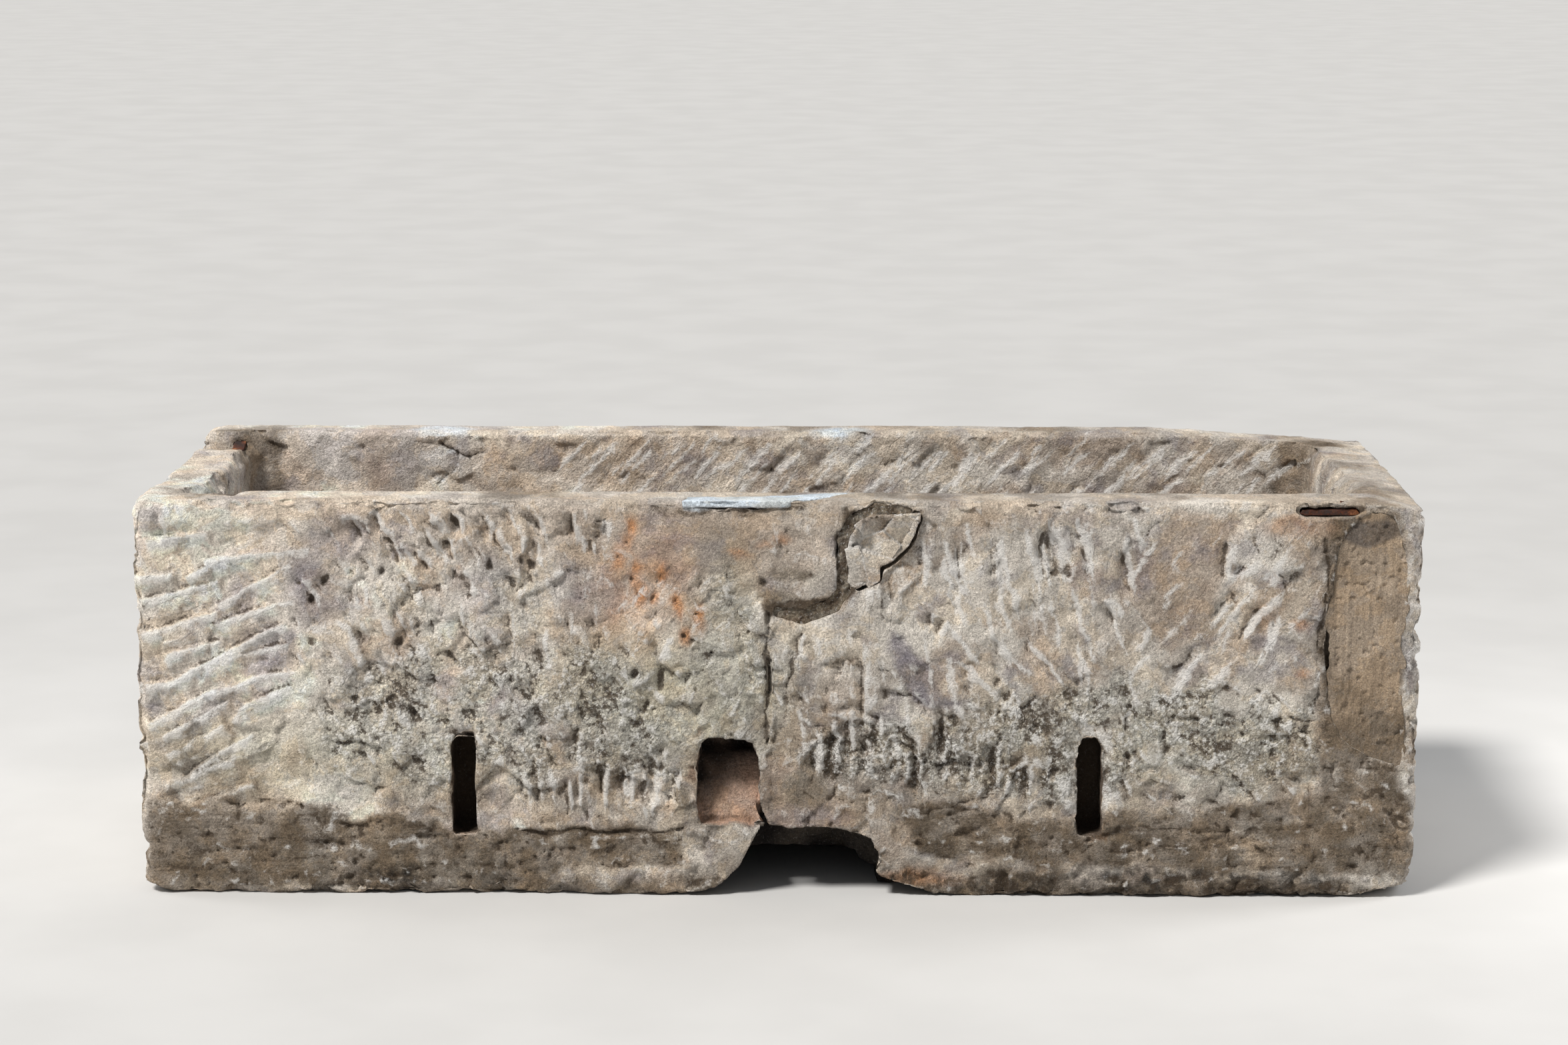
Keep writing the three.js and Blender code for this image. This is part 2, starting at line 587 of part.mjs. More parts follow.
// Nicks down the front right edge, and chips along the front and back foot
function edgeLosses() {
  const losses = [];
  const rightCorner = new THREE.Vector3(1, -1, 0).normalize();
  const count = Math.round((HEIGHT - FILL_BELOW_RIM - EDGE_NICK_PITCH * 2) / EDGE_NICK_PITCH);
  for (let i = 0; i < count; i++) {
    const z = EDGE_NICK_PITCH * (2 + i) + 12 * (chance(900 + i) - 0.5);
    const start = new THREE.Vector3(RIGHT, FRONT, z - EDGE_NICK_PITCH * 0.42);
    const end = new THREE.Vector3(RIGHT, FRONT, z + EDGE_NICK_PITCH * 0.42);
    losses.push(gouge(start, end, 60, CORNER_WEAR + 6 * chance(910 + i), rightCorner));
  }
  const foot = (share, y, key) => {
    const length = 70 + 110 * chance(key);
    const outward = new THREE.Vector3(0, Math.sign(y), -0.8).normalize();
    const start = new THREE.Vector3(share * LENGTH - length / 2, y, 0);
    const end = new THREE.Vector3(share * LENGTH + length / 2, y, 0);
    return gouge(start, end, 60, 15 + 9 * chance(key + 1), outward, 0.3 + 0.4 * chance(key + 2));
  };
  const rim = (share, y, key) => {
    const length = 50 + 90 * chance(key);
    const outward = new THREE.Vector3(0, Math.sign(y), 1).normalize();
    const start = new THREE.Vector3(share * LENGTH - length / 2, y, HEIGHT);
    const end = new THREE.Vector3(share * LENGTH + length / 2, y, HEIGHT);
    return gouge(start, end, 50, RIM_WEAR + 6 * chance(key + 1), outward, 0.3 + 0.4 * chance(key + 2));
  };
  steps(-0.44, -0.12, 5).forEach((share, i) => losses.push(rim(share, FRONT, 1030 + 4 * i)));
  steps(0.14, 0.33, 3).forEach((share, i) => losses.push(rim(share, FRONT, 1060 + 4 * i)));
  const frontFoot = [-0.425, -0.365, -0.3, -0.225, -0.16, 0.2, 0.26, 0.32, 0.375, 0.43];
  frontFoot.forEach((share, i) => losses.push(foot(share, FRONT, 930 + 5 * i)));
  steps(-0.4, 0.4, 6).forEach((share, i) => losses.push(foot(share, BACK, 990 + 5 * i)));
  const place = (fromEnd, behind, z) => new THREE.Vector3(RIGHT - fromEnd, FRONT + behind, z);
  losses.push(beyond(place(0, 0, 30), place(115, 0, 0), place(0, 130, 0)));
  losses.push(beyond(place(0, 0, 62), place(44, 0, 0), place(0, 50, 0)));
  return losses;
}

// Outline of the mortar that fills the front right corner
function fillOutline() {
  const right = RIGHT - FILL_FROM_END;
  const top = HEIGHT - FILL_BELOW_RIM;
  const x = (share) => right - share * FILL_WIDTH;
  const z = (share) => FILL_BOTTOM + share * (top - FILL_BOTTOM);
  return softened([
    [x(0.98), z(0.19)], [x(0.69), z(0.075)], [x(0.36), z(0.03)], [x(0), z(0)],
    [x(0.06), z(0.18)], [x(0.08), z(0.5)], [x(0), z(0.8)], [x(0.12), z(0.92)], [x(0.24), z(1)],
    [x(0.58), z(1)], [x(0.84), z(0.93)], [x(0.98), z(0.78)], [x(1), z(0.5)],
  ], 26);
}

// Outline of the plaster patch, seen from above
function patchOutline() {
  const length = PATCH_RIGHT - PATCH_LEFT;
  const x = (share) => PATCH_LEFT + share * length;
  const y = (share) => FRONT + 2 + share * (FRONT_WALL - LONG_LIP_RADIUS - 8);
  return [
    [x(0), y(0)], [x(0.2), y(0)], [x(0.45), y(0)], [x(0.62), y(0.05)], [x(0.8), y(0.35)], [x(1), y(0.92)],
    [x(0.93), y(1)], [x(0.7), y(0.74)], [x(0.48), y(0.5)], [x(0.2), y(0.42)], [x(0.02), y(0.45)],
  ];
}

// Outline of the marble fragment set back in the front
function fragmentOutline() {
  const top = HEIGHT - FRAGMENT_BELOW_RIM;
  const x = (share) => FRAGMENT_LEFT + share * FRAGMENT_WIDTH;
  const z = (share) => top - FRAGMENT_HEIGHT + share * FRAGMENT_HEIGHT;
  return [
    [x(0), z(0.1)], [x(0.11), z(0)], [x(0.41), z(0.13)], [x(0.45), z(0.29)], [x(0.62), z(0.37)],
    [x(0.83), z(0.57)], [x(0.92), z(0.72)], [x(1), z(1)], [x(0.28), z(0.96)], [x(0.11), z(0.84)],
    [x(0), z(0.65)],
  ];
}

// Outline of the gritty mortar round the fragment and down along the old break
function bedOutline() {
  const top = HEIGHT - FRAGMENT_BELOW_RIM;
  const foot = top - FRAGMENT_HEIGHT;
  const w = BED_WIDTH;
  const x = (share) => FRAGMENT_LEFT + share * FRAGMENT_WIDTH;
  return bandOutline([
    [x(0.85), top + w * 0.25, w * 0.7],
    [x(0.4), top + w * 0.2, w * 0.9],
    [x(0.08), top - w * 0.6, w * 1.1],
    [x(-0.08), top - FRAGMENT_HEIGHT * 0.35, w * 1.1],
    [x(-0.09), foot + FRAGMENT_HEIGHT * 0.3, w],
    [x(-0.06), foot - 2, w * 1.2],
    [x(-0.2), foot - 26, w * 1.5],
    [x(-0.62), foot - 46, w * 1.4],
    [x(-1.02), JOINT_TOP, w * 0.9],
  ]);
}

// The bar of the front cramp, with its turned up end, grown by a clearance for its pocket
function crampBar(extra) {
  const right = RIGHT - CRAMP_FROM_END;
  const left = right - CRAMP_LENGTH;
  const low = HEIGHT - CRAMP_BELOW_RIM;
  const outline = [
    [left, low + 2], [left + 16, low], [right - 10, low], [right, low + 4],
    [right - 8, low + CRAMP_HEIGHT], [left + 6, low + CRAMP_HEIGHT - 1],
  ];
  const bar = solid(frontPrism(grown(outline, extra), CRAMP_SETBACK, CRAMP_SETBACK + CRAMP_REACH + extra));
  const size = TANG_SIZE + 2 * extra;
  const foot = low + CRAMP_HEIGHT / 2;
  const rise = HEIGHT - foot;
  const tang = new THREE.BoxGeometry(size, size, rise);
  tang.translate(RIGHT - TANG_FROM_END, FRONT + TANG_SETBACK, foot + rise / 2);
  return bar.add(solid(tang));
}

// The lens shaped slot that the front cramp lies in
function crampSlot() {
  const right = RIGHT - CRAMP_FROM_END + (CRAMP_SLOT_LENGTH - CRAMP_LENGTH) * 0.8;
  const left = right - CRAMP_SLOT_LENGTH;
  const low = HEIGHT - CRAMP_BELOW_RIM;
  const outline = [
    [left, low + 7], [left + 14, low - 1], [right - 30, low - 1], [right - 12, low + 6],
    [right, low + CRAMP_SLOT_HEIGHT], [left + 30, low + CRAMP_SLOT_HEIGHT],
    [left + 4, low + CRAMP_SLOT_HEIGHT - 2],
  ];
  return solid(frontPrism(outline, -OUTSIDE, CRAMP_SETBACK + 3));
}

// The strap across the back left corner, sloping up from the low wall to the corner block
function strapBar(extra) {
  const step = BACK - BACK_WALL - LEFT_RIM_STEP;
  const low = HEIGHT - LEFT_RIM_DROP - LEFT_RIM_DIP / 2;
  const start = step - STRAP_LENGTH * 0.4;
  const end = step + STRAP_LENGTH * 0.6;
  const t = STRAP_THICKNESS;
  const profile = [
    [start, low - t - 2], [step - 10, low - t], [end, HEIGHT - t - 3], [end, HEIGHT - 3],
    [step - 14, low], [start, low - 2],
  ];
  const left = LEFT + STRAP_FROM_LEFT;
  return solid(lengthPrism(grown(profile, extra), left - extra, left + STRAP_WIDTH + extra));
}

// The trough: block, hollow, losses, cuts, tool marks and the pockets of the repairs
function troughBody(repairs) {
  let body = outerBlock();
  const cuts = [
    hollow(), ...rimLosses(), slot(-SLOT_OFFSET), slot(SLOT_OFFSET), outletRecess(), openCrack(),
    ...bottomNotch(), jointLine(), ...edgeLosses(), ...toolMarks(), ...repairs,
  ];
  for (const cut of cuts) body = body.subtract(cut);
  return body;
}

// Pockets that hold the repairs, each its piece's own outline with the clearance
function pockets() {
  const fill = fillOutline();
  const centre = RIGHT - FILL_FROM_END - FILL_WIDTH;
  const channel = bandOutline([
    [centre + 2, FILL_BOTTOM + 110, FILL_CHANNEL],
    [centre - 4, FILL_BOTTOM + 190, FILL_CHANNEL * 1.5],
    [centre, FILL_BOTTOM + 280, FILL_CHANNEL],
  ]);
  const fragment = fragmentOutline();
  const crack = fragment.map(([x, z]) => [x + FRAGMENT_CRACK * 0.7, z - FRAGMENT_CRACK * 0.7]);
  const bed = bedOutline();
  const patch = grown(patchOutline(), CLEARANCE);
  return [
    solid(frontPrism(grown(fill, CLEARANCE), -OUTSIDE, FILL_DEPTH + CLEARANCE)),
    solid(frontPrism(channel, -OUTSIDE, FILL_DEPTH / 2)),
    solid(frontPrism(grown(fragment, CLEARANCE), -OUTSIDE, FRAGMENT_DEPTH + CLEARANCE)),
    solid(frontPrism(crack, -OUTSIDE, FRAGMENT_DEPTH - 10)),
    solid(frontPrism(grown(bed, CLEARANCE), -OUTSIDE, BED_DEPTH + CLEARANCE)),
    solid(levelPrism(patch, HEIGHT - PATCH_THICKNESS - CLEARANCE, HEIGHT + OUTSIDE)),
    crampSlot(),
    crampBar(CLEARANCE),
    strapBar(CLEARANCE),
  ];
}

// Weathered marble of the main block
function marble() {
  return new THREE.MeshStandardMaterial({ color: 0xb5a894, roughness: 0.85, metalness: 0 });
}

// Brown lime mortar
function mortar() {
  return new THREE.MeshStandardMaterial({ color: 0x948068, roughness: 0.95, metalness: 0 });
}

// Dark gritty mortar
function grittyMortar() {
  return new THREE.MeshStandardMaterial({ color: 0x6e6155, roughness: 1, metalness: 0 });
}

// White plaster
function plaster() {
  return new THREE.MeshStandardMaterial({ color: 0xc9d5de, roughness: 0.9, metalness: 0 });
}

// Rusted wrought iron
function iron() {
  return new THREE.MeshStandardMaterial({ color: 0x3a2620, roughness: 0.9, metalness: 0.4 });
}

// Named mesh of a solid
function piece(name, body, material) {
  const mesh = new THREE.Mesh(surface(body), material);
  mesh.name = name;
  return mesh;
}

// Mortar fill of the corner, a little below the face around it
function cornerFill() {
  return solid(frontPrism(fillOutline(), 2, FILL_DEPTH, 3));
}

// Plaster patch over the break in the rim
function plasterPatch() {
  return solid(levelPrism(patchOutline(), HEIGHT - PATCH_THICKNESS, HEIGHT));
}

// Fragment set back in the front
function fragment() {
  return solid(frontPrism(fragmentOutline(), 0.5, FRAGMENT_DEPTH, 4));
}

// Gritty mortar, cut back where the fragment lies
function fragmentBed() {
  const room = solid(frontPrism(grown(fragmentOutline(), CLEARANCE), -OUTSIDE, BED_DEPTH + OUTSIDE));
  return solid(frontPrism(bedOutline(), BED_SETBACK, BED_DEPTH)).subtract(room);
}

const trough = new THREE.Group();
trough.add(
  piece("marble_trough", troughBody(pockets()), marble()),
  piece("corner_mortar_fill", cornerFill(), mortar()),
  piece("rim_plaster_patch", plasterPatch(), plaster()),
  piece("rim_fragment", fragment(), marble()),
  piece("fragment_mortar_bed", fragmentBed(), grittyMortar()),
  piece("front_iron_cramp", crampBar(0), iron()),
  piece("back_left_iron_cramp", strapBar(0), iron()),
);

export default trough;
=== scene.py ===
"""Weathered marble trough with chisel marks, mortar repairs and iron cramps, in a plain pale studio.

Each face of the block is worked on a panel: a grid of cells seen square on, which holds the relief in
millimetres and the stains from 0 to 1. The block's mesh is then pushed in or out by the relief of the
faces around it and tinted by their stains. Panel places are in millimetres from the trough's centre line
and its foot.
"""
import math
import bpy
import numpy as np
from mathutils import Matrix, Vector


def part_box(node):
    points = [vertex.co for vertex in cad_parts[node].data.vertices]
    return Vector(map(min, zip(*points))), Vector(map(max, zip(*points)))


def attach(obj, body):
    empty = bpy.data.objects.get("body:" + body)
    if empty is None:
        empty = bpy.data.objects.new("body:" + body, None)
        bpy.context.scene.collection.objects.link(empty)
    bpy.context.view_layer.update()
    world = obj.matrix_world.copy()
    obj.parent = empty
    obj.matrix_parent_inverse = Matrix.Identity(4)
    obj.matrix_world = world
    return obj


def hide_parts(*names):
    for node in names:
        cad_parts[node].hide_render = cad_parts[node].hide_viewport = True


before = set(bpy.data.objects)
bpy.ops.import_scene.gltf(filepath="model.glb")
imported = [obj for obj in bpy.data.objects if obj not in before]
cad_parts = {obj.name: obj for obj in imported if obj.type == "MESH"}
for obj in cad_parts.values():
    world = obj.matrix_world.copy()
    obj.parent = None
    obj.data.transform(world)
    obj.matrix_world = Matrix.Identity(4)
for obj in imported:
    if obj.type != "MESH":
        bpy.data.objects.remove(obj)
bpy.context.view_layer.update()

MM = 0.001
LOW, HIGH = (np.array(corner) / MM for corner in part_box("marble_trough"))
LEFT, FRONT, FOOT = LOW
RIGHT, BACK, RIM = HIGH
BOX_MARGIN = 0.05
LENGTH, HEIGHT = RIGHT - LEFT, RIM

# Boxes around the openings of the front face: middle, half width, foot or top, and depth
SLOT_CENTRES, SLOT_REACH, SLOT_FOOT, SLOT_DEPTH = (-514, 514), 32, 85, 130
RECESS_CENTRE, RECESS_REACH, RECESS_FOOT, RECESS_DEPTH = -79, 66, 105, 140
NOTCH_CENTRE, NOTCH_REACH, NOTCH_TOP, NOTCH_DEPTH = 30, 200, 128, 340
OPENING_TOP = 285
BASIN_FOOT = 120

# Fineness of the meshes, in metres, and how many triangles each part of the block may keep
BLOCK_VOXEL = 0.0036
REPAIR_VOXEL = 0.0018
CORNER_VOXEL = REPAIR_VOXEL * 1.15
IRON_VOXEL = 0.0012
FRONT_TRIANGLES = 117000
RIM_TRIANGLES = 34000
SIDE_TRIANGLES = 28000
HIDDEN_TRIANGLES = 12000
PANEL_CELL = 1.8

# How much finer each octave of noise is, the size of the cells that make edges ragged, and a far distance
FINER = 0.47
WARP_CELLS = 34.0
FAR = 1e6

# Depths of the relief, in millimetres
FACE_SINK = 1.5
PLANK_DEPTH = 9.0
SLOT_HEAD_DEPTH = 9.0
CHIP_DEPTH = 5.5
NICK_DEPTH = 7.0
EASING_ROOM = 2.5

# The stone is painted paler towards its left end, as the photograph shows it
# This is partly the stone's own paler tone and partly painted light, standing in for a brighter light from
# the left, strongest at the left end.
PALER_AND_LIT_LEFT = 0.34
PALER_AND_LIT_END = 0.12

# Colours in linear light
CREAM = (0.74, 0.68, 0.59)
BEIGE = (0.53, 0.46, 0.385)
TAN = (0.43, 0.33, 0.245)
PINK = (0.44, 0.32, 0.24)
ROSY = (0.70, 0.45, 0.32)
# Chalk white, also used for painted highlights on ridges and lit edges
CHALK_AND_HIGHLIGHT_WHITE = (0.83, 0.81, 0.78)
VIOLET_GREY = (0.25, 0.225, 0.24)
GREY_GREEN = (0.41, 0.41, 0.31)
CRUST_GREY = (0.50, 0.48, 0.41)
MORTAR_BROWN = (0.145, 0.112, 0.078)
MORTAR_TAN = (0.35, 0.268, 0.187)
MORTAR_PALE = (0.43, 0.34, 0.25)
MORTAR_DARK = (0.12, 0.10, 0.085)
GRIT_BROWN = (0.15, 0.115, 0.083)
GRIT_PALE = (0.30, 0.26, 0.20)
PLASTER_WHITE = (0.66, 0.73, 0.78)
PLASTER_GREY = (0.48, 0.53, 0.56)
RUST_ORANGE = (0.58, 0.23, 0.06)
RUST_BROWN = (0.10, 0.028, 0.012)
FRESH_RUST = (0.30, 0.10, 0.03)
SCALE_BROWN = (0.33, 0.13, 0.05)
IRON_BLACK = (0.022, 0.013, 0.011)
# Soot black, also used for painted shade inside the slots, the recess and the notch
SOOT_AND_SHADE_BLACK = (0.007, 0.0045, 0.003)
# Dirt brown, also used for painted shade in hollows and along shadow lines
DIRT_AND_SHADE_BROWN = (0.072, 0.050, 0.032)
TINT_LIMITS = (0.004, 0.9)

rng = np.random.default_rng(1712)


# Noise

FULL_TURN = 6.2832
PLANE_TABLE = rng.random((256, 256)).astype(np.float32)
FLAT_TABLE = PLANE_TABLE.ravel()
SPACE_TABLE = rng.random((64, 64, 64))


def eased(t):
    return t * t * (3.0 - 2.0 * t)


def ramp(low, high, value):
    return eased(np.clip((value - low) / (high - low), 0.0, 1.0))


def plane_noise(u, v, size_u, size_v=None, shift=0.0):
    """Smooth noise from -1 to 1 over a plane, with cells of the given size."""
    x = u / size_u + (shift * 17.31 + 1000.0)
    y = v / (size_v or size_u) + (shift * 9.73 + 1000.0)
    ix, iy = x.astype(np.int32), y.astype(np.int32)
    fx, fy = eased((x - ix).astype(np.float32)), eased((y - iy).astype(np.float32))
    row, next_row = (ix & 255) << 8, ((ix + 1) & 255) << 8
    column, next_column = iy & 255, (iy + 1) & 255
    a = FLAT_TABLE.take(row | column)
    b = FLAT_TABLE.take(next_row | column)
    c = FLAT_TABLE.take(row | next_column)
    d = FLAT_TABLE.take(next_row | next_column)
    low = a + (b - a) * fx
    high = c + (d - c) * fx
    return 2.0 * (low + (high - low) * fy) - 1.0


def octaves(u, v, size, count, shift=0.0, falloff=0.5):
    """Noise with finer and finer detail, from about -1 to 1; shift moves to another part of it."""
    total = np.zeros_like(u)
    weight = 1.0
    for level in range(count):
        total += weight * plane_noise(u, v, size, shift=shift + 1.37 * level)
        size *= FINER
        weight *= falloff
    return total


def hewn(u, v, size, tilt, shift=0.0):
    """Flat tilted facets, as a point chisel leaves: height, and how far each place is from an edge."""
    x, y = u / size + (400.0 + shift * 3.1), v / size + (400.0 + shift * 5.3)
    ix, iy = np.floor(x).astype(np.int32), np.floor(y).astype(np.int32)
    nearest = np.full(x.shape, 9.0)
    second = np.full(x.shape, 9.0)
    height = np.zeros(x.shape)
    for step_x in (-1, 0, 1):
        for step_y in (-1, 0, 1):
            cell_x, cell_y = ix + step_x, iy + step_y
            first = PLANE_TABLE[cell_x & 255, cell_y & 255]
            other = PLANE_TABLE[(cell_x + 91) & 255, (cell_y + 57) & 255]
            turn = PLANE_TABLE[(cell_x + 33) & 255, (cell_y + 171) & 255] * FULL_TURN
            away_x, away_y = x - cell_x - first, y - cell_y - other
            distance = away_x ** 2 + away_y ** 2
            closer = distance < nearest
            second = np.where(closer, nearest, np.minimum(second, distance))
            slope = tilt * (away_x * np.cos(turn) + away_y * np.sin(turn)) + 0.35 * tilt * np.sin(5 * turn)
            height = np.where(closer, slope, height)
            nearest = np.minimum(nearest, distance)
    return height * size, np.sqrt(second) - np.sqrt(nearest)


def space_noise(points, size, shift=0.0):
    """Smooth noise from -1 to 1 at points in space."""
    place = points / size + (shift * 7.77 + 500.0)
    base = np.floor(place).astype(np.int32)
    ease = eased(place - base)
    total = np.zeros(len(points))
    for corner in range(8):
        step = (corner & 1, (corner >> 1) & 1, corner >> 2)
        weight = np.ones(len(points))
        for axis in range(3):
            weight *= ease[:, axis] if step[axis] else 1.0 - ease[:, axis]
        x, y, z = ((base + np.array(step)) & 63).T
        total += weight * SPACE_TABLE[x, y, z]
    return 2.0 * total - 1.0


def space_octaves(points, size, count, shift=0.0, falloff=0.5):
    """The same for points in space."""
    total = np.zeros(len(points))
    weight = 1.0
    for level in range(count):
        total += weight * space_noise(points, size, shift + 0.61 * level)
        size *= FINER
        weight *= falloff
    return total


# Panels

# The dirt, chalk and soot stains also carry painted light: shade in hollows, in shadow lines and inside the
# openings, and highlights on ridges and lit edges.
STAINS = ("dirt_and_shade", "chalk_and_highlight", "rust", "green", "violet", "mortar", "crust", "cream", "plaster", "soot_and_shade", "tan",
          "pink", "shelving", "upright", "rising")


class Panel:
    """A face seen square on: relief in millimetres, positive outward, and stains from 0 to 1.

    The last three stains say which way the fine tool marks run: shelving, upright or rising to the right.
    """

    def __init__(self, u_range, v_range, shift, warp=5.0):
        self.u0, self.v0 = u_range[0], v_range[0]
        self.columns = int((u_range[1] - u_range[0]) / PANEL_CELL) + 1
        self.rows = int((v_range[1] - v_range[0]) / PANEL_CELL) + 1
        u = self.u0 + PANEL_CELL * np.arange(self.columns)
        v = self.v0 + PANEL_CELL * np.arange(self.rows)
        self.u, self.v = np.meshgrid(u, v)
        self.shift = shift
        self.warp_u = self.u + warp * self.octaves(WARP_CELLS, 4, shift + 3.1)
        self.warp_v = self.v + warp * self.octaves(WARP_CELLS, 4, shift + 5.9)
        self.relief = np.zeros_like(self.u)
        self.stains = {name: np.zeros_like(self.u) for name in STAINS}

    def octaves(self, size, count, shift=0.0, falloff=0.5):
        return octaves(self.u, self.v, size, count, shift, falloff)

    def window(self, u, v, reach):
        """The block of cells within reach of a place."""
        c0 = int(np.clip((u - reach - self.u0) / PANEL_CELL, 0, self.columns))
        c1 = int(np.clip((u + reach - self.u0) / PANEL_CELL + 1, 0, self.columns))
        r0 = int(np.clip((v - reach - self.v0) / PANEL_CELL, 0, self.rows))
        r1 = int(np.clip((v + reach - self.v0) / PANEL_CELL + 1, 0, self.rows))
        return slice(r0, r1), slice(c0, c1)

    def stain(self, name, mask):
        self.stains[name] = np.maximum(self.stains[name], np.clip(mask, 0.0, 1.0))

    def clean(self, name, mask):
        self.stains[name] = self.stains[name] * (1.0 - np.clip(mask, 0.0, 1.0))

    def mark(self, name, cells, values):
        """Stains a few cells only."""
        layer = self.stains[name]
        layer[cells] = np.maximum(layer[cells], values)

    def clouds(self, *rows):
        """Stains by noise: name, amount, where it sets in and is full, size of cells, octaves and shift."""
        for name, amount, low, high, size, count, shift in rows:
            self.stain(name, amount * ramp(low, high, self.octaves(size, count, shift)))

    def shaken(self, ragged):
        """The places of the cells, moved by a share of the warp."""
        return self.u + ragged * (self.warp_u - self.u), self.v + ragged * (self.warp_v - self.v)

    def blot(self, u, v, radius_u, radius_v, slant=0.0, soft=0.45):
        """Mask of a patch with a ragged soft edge."""
        pu, pv = self.warp_u - u, self.warp_v - v
        cos, sin = math.cos(math.radians(slant)), math.sin(math.radians(slant))
        along, across = (pu * cos + pv * sin) / radius_u, (-pu * sin + pv * cos) / radius_v
        return 1.0 - ramp(1.0 - soft, 1.0 + soft, np.hypot(along, across))

    def blots(self, patches, grain=0.0):
        """Stains patches: name, amount, softness, how the grain varies them, and their places and radii."""
        for name, amount, soft, even, swing, places in patches:
            for place in places:
                self.stain(name, amount * self.blot(*place, soft=soft) * (even + swing * grain))

    def line(self, places, ragged=0.35):
        """Distance in millimetres of each cell from a broken line."""
        pu, pv = self.shaken(ragged)
        distance = np.full(pu.shape, FAR)
        for start, end in zip(places, places[1:]):
            distance = np.minimum(distance, segment_distance(pu, pv, *start, *end))
        return distance

    def area(self, corners, soft=3.0, ragged=1.0):
        """Mask of the inside of a polygon, with a soft ragged edge."""
        pu, pv = self.shaken(ragged)
        inside = np.zeros(pu.shape, bool)
        for (au, av), (bu, bv) in zip(corners, corners[1:] + corners[:1]):
            if av != bv:
                crossing = (av > pv) != (bv > pv)
                inside ^= crossing & (pu < (bu - au) * (pv - av) / (bv - av) + au)
        distance = self.line(corners + corners[:1], ragged)
        return ramp(-soft, soft, np.where(inside, distance, -distance))

    def stroke(self, u0, v0, u1, v1, width, depth, chalk_and_highlight=0.5, dirt_and_shade=0.45):
        """One chisel furrow: it sinks slowly to a dark line and climbs steeply to a pale edge; the dark
        line is partly dirt, partly painted shade, and the pale edge partly bruised stone, partly a painted
        highlight.
        """
        middle_u, middle_v = (u0 + u1) / 2, (v0 + v1) / 2
        reach = math.hypot(u1 - u0, v1 - v0) / 2
        cells = self.window(middle_u, middle_v, reach + 1.3 * width)
        u, v = self.u[cells], self.v[cells]
        if u.size == 0 or reach < 1.0:
            return
        wobble = 0.16 * width * plane_noise(u, v, 20.0, shift=self.shift + 0.5)
        wobble += 0.07 * width * plane_noise(u, v, 7.0, shift=self.shift + 0.9)
        du, dv = (u1 - u0) / (2 * reach), (v1 - v0) / (2 * reach)
        # The furrow is turned so that its pale edge always lies below or right of its dark line, where the
        # walls face the light from the upper left.
        if dv < -0.25 or (abs(dv) <= 0.25 and du < 0):
            du, dv = -du, -dv
        along = ((u - middle_u) * du + (v - middle_v) * dv) / reach
        across = ((u - middle_u) * dv - (v - middle_v) * du + wobble) / width
        ends = np.clip(1.0 - np.abs(along - 0.15 * across) ** 4, 0.0, 1.0)
        gentle = ramp(-0.95, -0.02, across)
        steep = 1.0 - ramp(0.04, 0.26, across)
        edge = np.exp(-(((across - 0.36) / 0.16) ** 2)) * ends
        self.relief[cells] -= depth * gentle * steep * ends
        self.relief[cells] += 0.22 * depth * edge
        # Painted highlight on the pale edge and painted shade in the dark line, partly bruised stone and
        # dirt.
        self.mark("chalk_and_highlight", cells, np.exp(-(((across - 0.30) / 0.17) ** 2)) * ends * chalk_and_highlight)
        self.mark("dirt_and_shade", cells, np.exp(-(((across + 0.03) / 0.10) ** 2)) * ends * dirt_and_shade)

    def fill(self, u0, v0, u1, v1, width, deepest, depth):
        """Takes back a share of a furrow that the solid has, where the real one is shallower."""
        reach = math.hypot(u1 - u0, v1 - v0) / 2
        cells = self.window((u0 + u1) / 2, (v0 + v1) / 2, reach + width)
        u, v = self.u[cells], self.v[cells]
        du, dv = (u1 - u0) / (2 * reach), (v1 - v0) / (2 * reach)
        along = ((u - u0) * du + (v - v0) * dv) / (2 * reach)
        across = np.abs((u - u0) * dv - (v - v0) * du) / (width / 2)
        rise = np.clip(np.minimum(along / deepest, (1 - along) / (1 - deepest)), 0.0, 1.0)
        self.relief[cells] += depth * np.clip(rise - across, 0.0, 1.0)

    def pit(self, u, v, radius, depth, dirt_and_shade=0.9):
        """A small hole with a dark bottom."""
        cells = self.window(u, v, 2.2 * radius)
        away = np.hypot(self.warp_u[cells] - u, (self.warp_v[cells] - v) * 0.8) / radius
        bowl = np.clip(1.0 - away ** 2, 0.0, 1.0)
        self.relief[cells] -= depth * bowl
        self.mark("dirt_and_shade", cells, dirt_and_shade * bowl ** 0.6)

    def crack(self, places, width, depth, dirt_and_shade=1.0, ragged=1.0):
        """An open line of uneven width, closed here and there."""
        away = self.line(places, ragged)
        opening = 0.75 + 0.9 * plane_noise(self.u, self.v, 30.0, shift=self.shift + 0.3)
        opening = width * np.clip(opening, 0.12, 1.5)
        self.relief -= depth * (1.0 - ramp(0.3, 1.0, away / opening))
        self.stain("dirt_and_shade", dirt_and_shade * (1.0 - ramp(0.3, 1.1, away / opening)))

